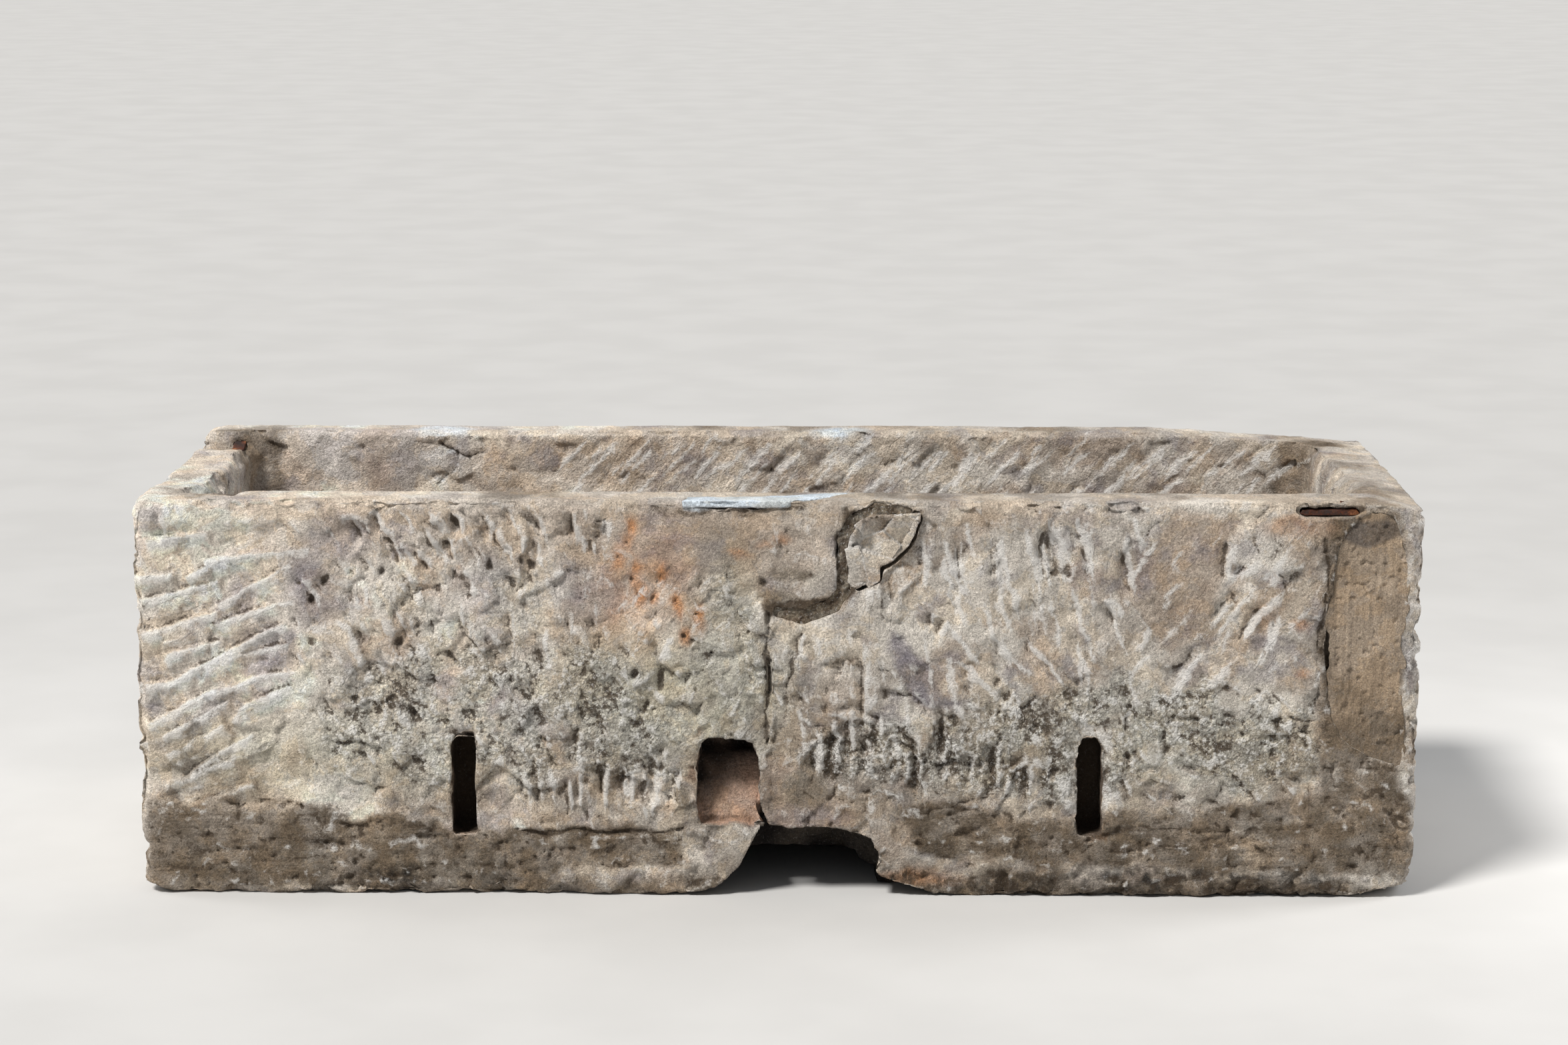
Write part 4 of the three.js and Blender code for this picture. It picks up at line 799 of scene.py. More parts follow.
def front_slots(panel):
    """Squared heads of the two slots, sunk and painted black as shadow in their corners, and the pale sunk
    frame of the right one.
    """
    for centre, tilt in zip(SLOT_CENTRES, (2, -4)):
        for side in (-1, 1):
            outer = centre + 16 * side
            corner = [(centre, 272), (outer, 270 + tilt * side), (outer, 250), (centre + 9 * side, 258)]
            shadow = panel.area(corner, 2, 0.6)
            panel.relief -= SLOT_HEAD_DEPTH * shadow
            # Painted shadow in the squared corners.
            panel.stain("soot_and_shade", shadow)
    sunk = panel.area([(482, 284), (492, 298), (545, 296), (552, 280), (548, 150), (535, 100), (488, 96),
                       (480, 180)], 5, 1.5)
    calmed(panel, sunk, 0.7, ("crust", "dirt_and_shade", "green", "mortar"), 0.5)
    panel.relief -= 3.0 * sunk
    panel.stain("chalk_and_highlight", 0.55 * sunk)
    panel.stain("tan", 0.5 * panel.blot(-500, 150, 40, 60, soft=0.7))


def front_knobs(panel):
    """Flakes sunk below the face and knobs that stand proud of it."""
    for corners, step in [([(-935, 665), (-930, 655), (-865, 650), (-862, 668)], 4.0),
                          ([(-812, 670), (-806, 640), (-760, 646), (-740, 670)], 4.0),
                          ([(425, 612), (445, 640), (490, 610), (480, 552), (448, 545)], 4.5),
                          ([(232, 640), (262, 620), (240, 560), (200, 520), (180, 480), (168, 490),
                            (170, 530), (215, 585), (226, 612)], 7.0),
                          ([(140, 485), (140, 520), (166, 522), (166, 488)], -5.0)]:
        flake = panel.area(corners, 3, 0.8)
        panel.relief -= step * flake
        panel.stain("chalk_and_highlight", 0.35 * flake)
    ridge = 1.0 - ramp(6.0, 18.0, np.abs(panel.warp_u - 156))
    ridge = ridge * ramp(290, 330, panel.v) * (1 - ramp(500, 530, panel.v))
    panel.relief += 4.5 * ridge
    for u, v, size in [(145, 500, 22), (55, 508, 26), (88, 540, 22), (20, 520, 22), (60, 575, 24),
                       (80, 450, 24), (780, 600, 26), (780, 555, 22), (825, 560, 26), (800, 505, 26),
                       (845, 595, 24), (830, 450, 22), (750, 575, 18), (-60, 268, 16), (-110, 258, 14)]:
        knob = panel.blot(u, v, size, size * 0.8, soft=0.5)
        panel.relief += 5.0 * knob
        panel.stain("cream", 0.7 * knob)
        # A dark ring at the foot of each knob: partly dirt, partly painted shade.
        rim = np.exp(-(((knob - 0.25) / 0.16) ** 2))
        panel.stain("dirt_and_shade", 0.45 * rim * (panel.blot(u, v, size * 2, size * 2) > 0))


def front_rim_band(panel):
    """Worn pale band under the rim, with the plaster's lip, the dark grit and the fragment's bed."""
    worn = ramp(645, 655, panel.warp_v)
    panel.relief = panel.relief * (1 - 0.4 * worn)
    panel.stain("cream", 0.7 * worn)
    panel.stain("chalk_and_highlight", 0.35 * worn)
    grit = panel.area([(-205, 660), (-200, 644), (-150, 648), (-60, 636), (55, 644), (112, 654),
                       (112, 668)], 5, 1.8)
    bed = panel.line([(118, 642), (118, 560), (122, 530), (96, 500), (60, 486), (20, 482), (-12, 486)], 0.8)
    top = panel.line([(118, 642), (160, 650), (232, 646)], 0.8)
    around = np.maximum(1 - ramp(11, 19, bed + 6 * panel.octaves(30.0, 3, 60.0)),
                        1 - ramp(5, 12, top + 4 * panel.octaves(30.0, 3, 60.0)))
    calmed(panel, around, 0.6, ("cream", "chalk_and_highlight", "tan"), 0.9)
    panel.relief += np.maximum(grit, around) * (1.6 * panel.octaves(9.0, 2, 61.0, falloff=0.7) - 1.0)
    panel.stain("mortar", np.maximum(0.6 * grit, around))
    panel.stain("dirt_and_shade", np.maximum(0.65 * grit, 0.75 * around))
    plaster = panel.area([(-150, 675), (-146, 652), (-100, 650), (-60, 655), (-20, 660), (-10, 675)],
                         3, 0.8)
    panel.clean("dirt_and_shade", plaster)
    panel.stain("plaster", plaster)
    for u in (412, 455, 497, 540, 583):
        panel.stroke(u, 664, u + 12, 640, 22, 5.0, 0.9, 0.9)


def paint_front():
    """The face that the photograph shows, with all its marks and repairs."""
    panel = Panel((LEFT, RIGHT), (FOOT, RIM), 1.0)
    stone_ground(panel, fine=1.1)
    left_end = 1.0 - ramp(-800.0, -730.0, panel.u)
    calmed(panel, left_end, 0.45, ("dirt_and_shade", "tan"), 0.5)
    right_side = ramp(150.0, 210.0, panel.u) * ramp(300.0, 360.0, panel.v)
    calmed(panel, right_side, 0.40, ("dirt_and_shade",), 0.4)
    front_colours(panel)
    front_scatter(panel)
    solid_furrows(panel, FRONT_ROWS[:2], 0, 0.0, 0.0, 0.0, filled=0.85)
    solid_furrows(panel, FRONT_ROWS[2:], 2, 1.0, 0.9, 2.0, filled=0.35, widening=1.15)
    for work in (front_planks, front_notable, front_crust, front_rust, front_knobs, front_slots,
                 centre_repair, base_mortar, broken_foot):
        work(panel)
    for crack in FRONT_CRACKS:
        panel.crack(*crack)
    front_rim_band(panel)
    relief_shade_dirt_and_highlights(panel)
    return panel


# The other faces

def paint_back():
    """The hidden back: the same chisel in three rows, and fewer stains."""
    panel = Panel((LEFT, RIGHT), (FOOT, RIM), 2.0)
    stone_ground(panel, broad=3.0, fine=1.2)
    solid_furrows(panel, BACK_ROWS, 40, 0.9, 0.7, 2.0, filled=0.3, widening=1.3)
    panel.scatter((LEFT, RIGHT), (40, 640), (74, 42), lambda u, v: 45, 96, 26, 4.2, 0.7, 0.55)
    panel.stain("rising", 0.9)
    foot = ramp(170, 60, panel.warp_v)
    panel.stain("mortar", 0.7 * foot)
    panel.stain("dirt_and_shade", 0.5 * foot * ramp(-0.3, 0.6, panel.octaves(24.0, 3, 62.0)))
    panel.clouds(("green", 0.6, 0.0, 0.8, 190.0, 3, 63.0), ("violet", 0.7, 0.2, 0.9, 130.0, 3, 64.0))
    crust = ramp(0.1, 0.7, panel.octaves(90.0, 4, 65.0)) * ramp(420, 250, panel.v)
    panel.stain("crust", crust)
    panel.relief += 1.8 * crust * panel.octaves(13.0, 3, 66.0)
    relief_shade_dirt_and_highlights(panel)
    return panel


# Places along the back rim where plaster was dabbed on
PLASTER_DABS = (-616, 110)


def paint_inner_back():
    """The inner back wall, of which the photograph shows the upper half."""
    panel = Panel((LEFT, RIGHT), (BASIN_FOOT, RIM), 3.0)
    stone_ground(panel, broad=1.8, fine=0.55)
    solid_furrows(panel, INNER_BACK_ROWS, 70, 1.5, 0.2, 2.4, filled=0.9, widening=1.1)
    panel.scatter((-380, 930), (430, 655), (50, 50), lambda u, v: 47, 70, 22, 2.2, 1.4, 0.2)
    panel.scatter((-930, -380), (430, 655), (90, 60), lambda u, v: 30, 60, 22, 2.0, 0.4, 0.3)
    panel.scatter((-930, 930), (150, 430), (86, 70), lambda u, v: 42, 90, 26, 3.2, 0.5, 0.4)
    panel.stain("rising", ramp(-520, -330, panel.u))
    for places, width in [([(-621, 645), (-588, 623), (-604, 590), (-632, 557)], 5),
                          ([(-588, 621), (-566, 614), (-544, 628)], 4)]:
        panel.crack(places, width, 5, 1.0)
    grit = np.maximum(panel.blot(-650, 664, 46, 18), panel.blot(-540, 662, 34, 24))
    grit = np.maximum(grit, panel.blot(140, 660, 34, 10))
    grains = panel.octaves(10.0, 2, 67.0)
    panel.relief += grit * grains
    panel.stain("dirt_and_shade", 0.7 * grit * ramp(-0.5, 0.5, grains))
    panel.blots([("plaster", 0.9, 0.45, 1.0, 0.0, [(u, 668, 44, 9) for u in PLASTER_DABS])])
    corners = np.maximum(panel.area([(-990, 700), (-905, 700), (-925, 100), (-990, 100)], 8, 2.0),
                         panel.area([(990, 700), (892, 700), (900, 100), (990, 100)], 8, 2.0))
    panel.stain("mortar", 0.85 * corners)
    panel.stain("tan", ramp(500, 330, panel.v) * 0.8)
    panel.stain("dirt_and_shade", ramp(330, 140, panel.v) * 0.35)
    panel.stain("tan", 0.8 * panel.blot(-330, 610, 210, 50))
    panel.stain("violet", 0.5 * panel.blot(-760, 620, 150, 60))
    relief_shade_dirt_and_highlights(panel)
    return panel


def paint_inner_wall(u_range, shift):
    """An inner wall that the photograph hides: plainer, with the same chisel and a dirty foot."""
    panel = Panel(u_range, (BASIN_FOOT, RIM), shift)
    stone_ground(panel, broad=1.8, fine=0.9)
    panel.scatter(u_range, (150, 650), (80, 62), lambda u, v: 42, 84, 26, 3.4, 0.6, 0.45)
    panel.stain("rising", 0.8)
    panel.stain("tan", ramp(520, 300, panel.v) * 0.8)
    panel.stain("dirt_and_shade", ramp(330, 140, panel.v) * 0.4)
    edge = np.minimum(panel.u - u_range[0], u_range[1] - panel.u)
    panel.stain("mortar", 0.6 * ramp(150, 90, edge + 20 * panel.octaves(60.0, 3, shift)))
    relief_shade_dirt_and_highlights(panel)
    return panel


def paint_end(shift):
    """One of the two hidden ends, with long shelving cuts."""
    panel = Panel((FRONT, BACK), (FOOT, RIM), shift)
    stone_ground(panel, broad=2.6, fine=1.1)
    panel.scatter((FRONT, BACK), (40, 640), (110, 46), lambda u, v: 4, 140, 34, 5.0, 0.8, 0.6)
    panel.clouds(("cream", 0.9, -0.4, 0.5, 150.0, 3, shift + 1),
                 ("green", 0.5, 0.1, 0.8, 160.0, 3, shift + 2),
                 ("violet", 0.6, 0.25, 0.9, 110.0, 3, shift + 3))
    panel.stain("shelving", 0.9)
    panel.stain("mortar", 0.75 * ramp(150, 70, panel.warp_v))
    relief_shade_dirt_and_highlights(panel)
    return panel


def paint_rim():
    """The rim seen from above, with its worn arrises, old repairs and rubble at the corners."""
    panel = Panel((LEFT, RIGHT), (FRONT, BACK), 8.0)
    panel.relief += 1.2 * panel.octaves(120.0, 3, 8.0) + 1.5 * np.abs(panel.octaves(34.0, 3, 8.5))
    panel.clouds(("cream", 0.6, -0.4, 0.6, 90.0, 3, 9.0), ("tan", 0.5, 0.0, 0.8, 60.0, 3, 10.0),
                 ("violet", 0.6, 0.2, 0.8, 100.0, 3, 11.0), ("mortar", 0.6, 0.1, 0.8, 80.0, 3, 12.0))
    combing = plane_noise(panel.warp_u, panel.warp_v, 14.0, 90.0, 13.0)
    ends = ramp(860, 930, np.abs(panel.u))
    panel.relief += 0.9 * ends * combing
    panel.stain("dirt_and_shade", 0.4 * ends * ramp(0.1, 0.8, -combing))
    rubble = panel.area([(-960, -300), (-880, -330), (-860, -280), (-930, -220), (-985, -240)], 10, 2.0)
    lumps = panel.octaves(26.0, 3, 14.0)
    panel.relief += rubble * (3.0 * lumps - 5.0)
    panel.stain("dirt_and_shade", rubble * ramp(-0.4, 0.5, -lumps))
    dark = np.maximum(panel.blot(-985, 275, 50, 45), panel.blot(965, 300, 50, 40))
    panel.stain("mortar", dark)
    panel.stain("dirt_and_shade", 0.5 * dark)
    panel.blots([("plaster", 1.0, 0.45, 1.0, 0.0, [(u, 318, 46, 34) for u in PLASTER_DABS])])
    for u in np.arange(-360, 900, 64):
        panel.stroke(u, 300, u + 40, 352, 13, 3.0, 0.7, 0.3)
    relief_shade_dirt_and_highlights(panel)
    return panel


def paint_floor(v_range, shift, dirt_and_shade):
    """The basin's floor or the underside."""
    panel = Panel((LEFT, RIGHT), v_range, shift)
    stone_ground(panel, broad=2.0, fine=0.9)
    panel.scatter((LEFT, RIGHT), v_range, (120, 90), lambda u, v: 40, 110, 30, 3.4, 0.5, 0.4)
    panel.clouds(("tan", 0.8, -0.3, 0.6, 170.0, 4, shift), ("mortar", 0.6, -0.1, 0.8, 230.0, 4, shift + 1),
                 ("dirt_and_shade", dirt_and_shade, -0.6, 0.5, 150.0, 4, shift + 2))
    relief_shade_dirt_and_highlights(panel)
    return panel


class Face:
    """A panel and the slab of the block that it dresses: its axis, which way it faces, and its limits."""

    def __init__(self, panel, axis, sign, low, high):
        self.panel, self.axis, self.sign = panel, axis, sign
        self.low, self.high = low, high
        self.across = {0: (1, 2), 1: (0, 2), 2: (0, 1)}[axis]

    def weight(self, points, normals, soft):
        """How far each point belongs to this face, from 0 to 1."""
        facing = ramp(soft[0], soft[1], self.sign * normals[:, self.axis])
        place = points[:, self.axis]
        near = ramp(self.low - 8, self.low, place) * (1 - ramp(self.high, self.high + 8, place))
        return facing * near

    def read(self, values, points):
        u, v = points[:, self.across[0]], points[:, self.across[1]]
        return self.panel.sample(values, u, v)


def paint_faces():
    """Every face of the block, by the axis it looks along and the range where it lies."""
    hollow = (FRONT + 60, BACK - 60)
    return [
        Face(paint_front(), 1, -1, FRONT - 20, FRONT + 30),
        Face(paint_back(), 1, 1, BACK - 30, BACK + 20),
        Face(paint_inner_back(), 1, -1, BACK - 150, BACK - 50),
        Face(paint_inner_wall((LEFT, RIGHT), 4.0), 1, 1, FRONT + 60, FRONT + 150),
        Face(paint_end(5.0), 0, -1, LEFT - 20, LEFT + 45),
        Face(paint_end(6.0), 0, 1, RIGHT - 45, RIGHT + 20),
        Face(paint_inner_wall(hollow, 6.5), 0, 1, LEFT + 60, LEFT + 190),
        Face(paint_inner_wall(hollow, 7.0), 0, -1, RIGHT - 210, RIGHT - 60),
        Face(paint_rim(), 2, 1, RIM - 90, RIM + 20),
        Face(paint_floor(hollow, 8.2, 0.35), 2, 1, 120, 240),
        Face(paint_floor((FRONT, BACK), 9.0, 0.6), 2, -1, FOOT - 20, FOOT + 25),
    ]


# The block's mesh

def listed(items, name, kind, width=1):
    """One value or more of every item of a mesh, as an array."""
    values = np.empty(len(items) * width, kind)
    items.foreach_get(name, values)
    return values


def mesh_arrays(mesh):
    """Places in millimetres and normals of a mesh's vertices."""
    points = listed(mesh.vertices, "co", np.float32, 3)
    normals = listed(mesh.vertex_normals, "vector", np.float32, 3)
    return points.reshape(-1, 3).astype(float) / MM, normals.reshape(-1, 3).astype(float)


def write_points(mesh, points):
    mesh.vertices.foreach_set("co", (points * MM).astype(np.float32).ravel())
    mesh.update()


def write_colours(mesh, name, channels):
    """Keeps four values from 0 to 1 at every vertex."""
    values = np.clip(np.column_stack(channels), 0, 1)
    layer = mesh.color_attributes.new(name=name, type="FLOAT_COLOR", domain="POINT")
    layer.data.foreach_set("color", values.astype(np.float32).ravel())


def applied(piece):
    """Replaces a piece's mesh by what its modifiers make of it."""
    depsgraph = bpy.context.evaluated_depsgraph_get()
    made = bpy.data.meshes.new_from_object(piece.evaluated_get(depsgraph))
    piece.modifiers.clear()
    old = piece.data
    piece.data = made
    bpy.data.meshes.remove(old)


def remeshed(node, name, voxel):
    """A new piece with the shape of a CAD node, in even small faces."""
    piece = bpy.data.objects.new(name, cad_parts[node].data.copy())
    bpy.context.scene.collection.objects.link(piece)
    piece.data.materials.clear()
    remesh = piece.modifiers.new("even faces", "REMESH")
    remesh.mode = "VOXEL"
    remesh.voxel_size = voxel
    remesh.adaptivity = 0.0
    applied(piece)
    return piece


def thinned(piece, wanted, chosen):
    """Leaves about the wanted number of triangles among the chosen vertices and spares the others."""
    corners = listed(piece.data.loops, "vertex_index", np.int32)
    starts = listed(piece.data.polygons, "loop_start", np.int32)
    triangles = listed(piece.data.polygons, "loop_total", np.int32) - 2
    among = triangles[chosen[corners[starts]]].sum()
    total = triangles.sum()
    if among <= wanted:
        return
    group = piece.vertex_groups.new(name="thinned")
    group.add(np.flatnonzero(chosen).tolist(), 1.0, "REPLACE")
    decimate = piece.modifiers.new("fewer faces", "DECIMATE")
    decimate.vertex_group = group.name
    decimate.vertex_group_factor = 1.0
    decimate.ratio = float((total - among + wanted) / total)
    applied(piece)
    piece.vertex_groups.clear()


def within_box(points):
    """Eases points that come near the CAD box back inside it."""
    for wall, way in ((LOW, 1.0), (HIGH, -1.0)):
        inside = way * (points - wall)
        near = EASING_ROOM * np.exp(np.clip((inside - EASING_ROOM) / EASING_ROOM, -6, 0))
        points = wall + way * np.where(inside < EASING_ROOM, near, inside)
    return points


def carve(points, normals, faces):
    """Pushes the block's surface by the relief of its faces, and roughens and chips what lies between."""
    moved = points.copy()
    covered = np.zeros(len(points))
    for face in faces:
        weight = face.weight(points, normals, (0.45, 0.80))
        moved[:, face.axis] += face.sign * weight * (face.read(face.panel.relief, points) - FACE_SINK)
        covered = np.maximum(covered, weight)
    rough = 2.2 * space_octaves(points, 46.0, 3, 1.0) + 1.0 * space_octaves(points, 12.0, 2, 2.0)
    chips = -CHIP_DEPTH * ramp(0.30, 0.75, space_octaves(points, 30.0, 2, 6.0))
    moved += normals * ((1.0 - 0.85 * covered) * (rough + chips - 1.0))[:, None]
    brink = ramp(26, 8, np.hypot(points[:, 1] - FRONT, RIM - points[:, 2]))
    nicks = ramp(-0.10, 0.40, space_octaves(points, 38.0, 3, 6.5))
    moved += normals * (brink * (-NICK_DEPTH * nicks))[:, None]
    moved += normals * (openings(points) * (1.0 - covered))[:, None]
    return within_box(moved)


def openings(points):
    """Extra raggedness of the recess's and the notch's walls, in millimetres."""
    x, y, z = points.T
    deep = y - FRONT
    mouth = ramp(75, 30, deep)
    recess = (np.abs(x - RECESS_CENTRE) < 70) & (z > 100) & (z < OPENING_TOP)
    arch = ramp(225, 262, z) * ramp(22, 52, np.abs(x - RECESS_CENTRE))
    ragged = space_octaves(points, 24.0, 3, 7.0, 0.6)
    notch = (np.abs(x - NOTCH_CENTRE) < NOTCH_REACH) & (z < 150) & (deep < 330)
    broken = 5.0 * space_octaves(points, 44.0, 3, 8.0) - 2.0
    return mouth * recess * (4.5 * ragged + 9.0 * arch) + notch * broken


def mixed(colours, target, mask):
    """One colour or many, changed towards a target by a mask from 0 to 1."""
    mask = np.clip(mask, 0.0, 1.0)[:, None]
    return np.array(colours) * (1 - mask) + np.array(target) * mask


def stains_at(points, normals, faces):
    """Stains of each point, from the faces around it."""
    total = np.zeros(len(points))
    stains = {name: np.zeros(len(points)) for name in STAINS}
    for face in faces:
        weight = face.weight(points, normals, (0.05, 0.55)) + 1e-9
        total += weight
        for name in STAINS:
            stains[name] += weight * face.read(face.panel.stains[name], points)
    trust = np.clip(total, 0.0, 1.0) / np.maximum(total, 1e-6)
    return {name: values * trust for name, values in stains.items()}


def opening_colours_and_shade(points, stains):
    """Colours of the slots, the recess and the notch, which the panels see only from outside, with painted
    shade: their insides are painted dark and black, partly soot and dirt.
    """
    def stain(name, mask):
        stains[name] = np.maximum(stains[name], mask)

    x, y, z = points.T
    deep = y - FRONT
    for centre in SLOT_CENTRES:
        in_slot = (np.abs(x - centre) < SLOT_REACH) & (z > SLOT_FOOT) & (z < OPENING_TOP)
        # Painted shade: each slot darkens to black with depth.
        stain("soot_and_shade", 0.95 * in_slot * ramp(12, 40, deep) * (deep < SLOT_DEPTH))
        stain("rust", in_slot * ramp(3, 14, deep) * (deep < 45) * 0.30)
        stain("dirt_and_shade", in_slot * ramp(2, 10, deep) * (deep < SLOT_DEPTH))
    in_recess = (np.abs(x - RECESS_CENTRE) < RECESS_REACH) & (z > RECESS_FOOT) & (z < OPENING_TOP)
    inside = in_recess * (deep < RECESS_DEPTH) * ramp(7, 14, deep)
    for name in ("green", "violet", "crust", "chalk_and_highlight", "cream", "dirt_and_shade"):
        stains[name] = stains[name] * (1 - 0.9 * inside)
    wander = 9 * space_noise(points, 26.0, 5.0)
    stains["rosy"] = inside * (0.85 + 0.02 * wander)
    # Painted shadow under the recess's top and to its upper left, and black in its deep hole.
    upper = ramp(150, 210, z + 0.70 * (RECESS_CENTRE - x) + wander)
    stain("soot_and_shade", inside * np.maximum(0.94 * upper, ramp(70, 84, deep)))
    stain("mortar", inside * ramp(130, 250, z + wander) * 0.6)
    in_notch = (np.abs(x - NOTCH_CENTRE) < NOTCH_REACH) & (z < NOTCH_TOP) & (deep < NOTCH_DEPTH)
    in_notch = in_notch & (deep > 4)
    # Painted shade: the notch goes black with depth.
    stain("soot_and_shade", in_notch * ramp(16, 60, deep + wander))
    stain("mortar", in_notch * ramp(3, 20, deep))
    return stains


# Colour of each stain and how much of it shows
STAIN_COLOURS = [
    ("cream", CREAM, 0.85), ("tan", TAN, 0.80), ("pink", PINK, 0.85), ("violet", VIOLET_GREY, 0.85),
    ("green", GREY_GREEN, 0.60), ("crust", CRUST_GREY, 0.65), ("mortar", MORTAR_BROWN, 0.95),
    ("rosy", ROSY, 0.75), ("plaster", PLASTER_WHITE, 0.95), ("rust", RUST_ORANGE, 0.85),
    ("soot_and_shade", SOOT_AND_SHADE_BLACK, 0.99),
]


def tint_block(piece, faces):
    """Writes the block's colours, its marks and the way of its fine tool marks into the mesh."""
    points, normals = mesh_arrays(piece.data)
    stains = opening_colours_and_shade(points, stains_at(points, normals, faces))
    broad = space_octaves(points, 160.0, 4, 3.0)
    fine = space_octaves(points, 24.0, 3, 4.0)
    colour = mixed(BEIGE, CREAM, 0.30 + 0.45 * broad)
    for name, target, amount in STAIN_COLOURS:
        colour = mixed(colour, target, amount * stains[name] * (1 + 0.35 * fine))
    sandy = ramp(0.0, 0.9, space_octaves(points, 60.0, 4, 9.0))
    colour = mixed(colour, MORTAR_TAN, 0.70 * sandy * stains["mortar"] * (1 - stains["soot_and_shade"]))
    # Painted light, partly tone: the stone is brightened towards the left and most at the left end.
    paler_and_lit = PALER_AND_LIT_LEFT * ramp(250, -650, points[:, 0]) + PALER_AND_LIT_END * ramp(-700, -860, points[:, 0])
    paler_and_lit = 1 + paler_and_lit * (1 - 0.6 * stains["mortar"])
    colour *= (paler_and_lit * (1 + 0.10 * broad + 0.10 * fine))[:, None]
    ones = np.ones(len(points))
    write_colours(piece.data, "tint", [*np.clip(colour, *TINT_LIMITS).T, ones])
    write_colours(piece.data, "grain", [stains["shelving"], stains["upright"], stains["rising"], ones])
    chalk_and_highlight = stains["chalk_and_highlight"] * (1 - stains["plaster"])
    write_colours(piece.data, "marks", [chalk_and_highlight, stains["dirt_and_shade"], stains["crust"], stains["mortar"]])


def build_block():
    faces = paint_faces()
    piece = remeshed("marble_trough", "trough_stone", BLOCK_VOXEL)
    points, normals = mesh_arrays(piece.data)
    write_points(piece.data, carve(points, normals, faces))
    for wanted, choose in [(HIDDEN_TRIANGLES, hidden_places), (SIDE_TRIANGLES, side_places),
                           (RIM_TRIANGLES, rim_places), (FRONT_TRIANGLES, front_places)]:
        points, normals = mesh_arrays(piece.data)
        thinned(piece, wanted, choose(points, normals))
    tint_block(piece, faces)
    return piece


# Which vertices are thinned together, from those that show best to those that are hidden

def front_places(points, normals):
    return points[:, 1] < FRONT + 45


def rim_places(points, normals):
    _, y, z = points.T
    seen_inside = (y > BACK - 130) & (normals[:, 1] < -0.2) & (z > 480)
    top = (z > RIM - 60) & (normals[:, 2] > 0.25)
    return (seen_inside | top) & ~front_places(points, normals)


def side_places(points, normals):
    x, y, _ = points.T
    outside = (y > BACK - 30) | (x < LEFT + 45) | (x > RIGHT - 45)
    return outside & ~front_places(points, normals) & ~rim_places(points, normals)


def hidden_places(points, normals):
    return ~(front_places(points, normals) | rim_places(points, normals) | side_places(points, normals))


# Materials

class Shader:
    """Short calls for the nodes of one procedural material."""

    def __init__(self, name):
        self.material = bpy.data.materials.new(name)
        self.material.use_nodes = True
        self.tree = self.material.node_tree
        self.surface = self.tree.nodes["Principled BSDF"]
        self.place = self.tree.nodes.new("ShaderNodeTexCoord").outputs["Object"]

    def put(self, socket, value):
        if isinstance(value, bpy.types.NodeSocket):
            self.tree.links.new(value, socket)
        else:
            socket.default_value = value

    def add(self, kind, inputs, **settings):
        """A new node, with its settings and then its inputs."""
        node = self.tree.nodes.new(kind)
        for name, value in settings.items():
            setattr(node, name, value)
        for name, value in inputs.items():
            self.put(node.inputs[name], value)
        return node

    def noise(self, scale, detail=4.0, roughness=0.6, distortion=0.0, place=None):
        inputs = {"Vector": self.place if place is None else place, "Scale": scale, "Detail": detail,
                  "Roughness": roughness, "Distortion": distortion}
        return self.add("ShaderNodeTexNoise", inputs).outputs["Fac"]

    def streaks(self, slant, length, width):
        """Noise drawn out along a slant in the plane of the front face; its cells are given in metres."""
        inputs = {"Vector": self.place, "Rotation": (0.0, -math.radians(slant), 0.0),
                  "Scale": (length, 0.05, width)}
        mapping = self.add("ShaderNodeMapping", inputs, vector_type="TEXTURE")
        return self.noise(1.0, 1.5, 0.5, 0.35, mapping.outputs["Vector"])

    def cells(self, scale):
        return self.add("ShaderNodeTexVoronoi", {"Vector": self.place, "Scale": scale}).outputs["Distance"]

    def math(self, operation, a, b=0.0, clamp=False):
        return self.add("ShaderNodeMath", {0: a, 1: b}, operation=operation, use_clamp=clamp).outputs[0]

    def times(self, a, b):
        return self.math("MULTIPLY", a, b)

    def plus(self, a, b, clamp=False):
        return self.math("ADD", a, b, clamp)

    def minus(self, a, b):
        return self.math("SUBTRACT", a, b)

    def total(self, first, *layers):
        """The first value and a share of each of the others."""
        for layer, share in layers:
            first = self.plus(first, self.times(layer, share))
        return first

    def spread(self, value, low, high, to_low=0.0, to_high=1.0):
        """The value eased from one range to another."""
        inputs = {"Value": value, "From Min": low, "From Max": high, "To Min": to_low, "To Max": to_high}
        return self.add("ShaderNodeMapRange", inputs, interpolation_type="SMOOTHSTEP").outputs["Result"]

    def mix(self, factor, a, b, blend="MIX"):
        a, b = (colour if isinstance(colour, bpy.types.NodeSocket) else (*colour, 1.0) for colour in (a, b))
        inputs = {"Factor": factor, "A": a, "B": b}
        return self.add("ShaderNodeMix", inputs, data_type="RGBA", blend_type=blend).outputs["Result"]

    def grey(self, value):
        return self.add("ShaderNodeCombineColor", {0: value, 1: value, 2: value}).outputs["Color"]

    def attribute(self, name):
        """The colour of a mesh attribute, its three parts, and its alpha."""
        node = self.add("ShaderNodeAttribute", {}, attribute_name=name)
        parts = self.add("ShaderNodeSeparateColor", {"Color": node.outputs["Color"]})
        return node.outputs["Color"], parts.outputs, node.outputs["Alpha"]

    def finish(self, bump=None, **inputs):
        """Sets the surface, which may be bumped by a height and a distance in metres."""
        if bump is not None:
            node = self.add("ShaderNodeBump", {"Height": bump[0], "Distance": bump[1]})
            self.put(self.surface.inputs["Normal"], node.outputs["Normal"])
        for name, value in inputs.items():
            self.put(self.surface.inputs[name.replace("_", " ")], value)
        return self.material


# Slant in degrees, length and width in metres of the marks that each part of the grain stands for
GRAIN_MARKS = ((21, 0.085, 0.024), (98, 0.050, 0.017), (52, 0.050, 0.018))


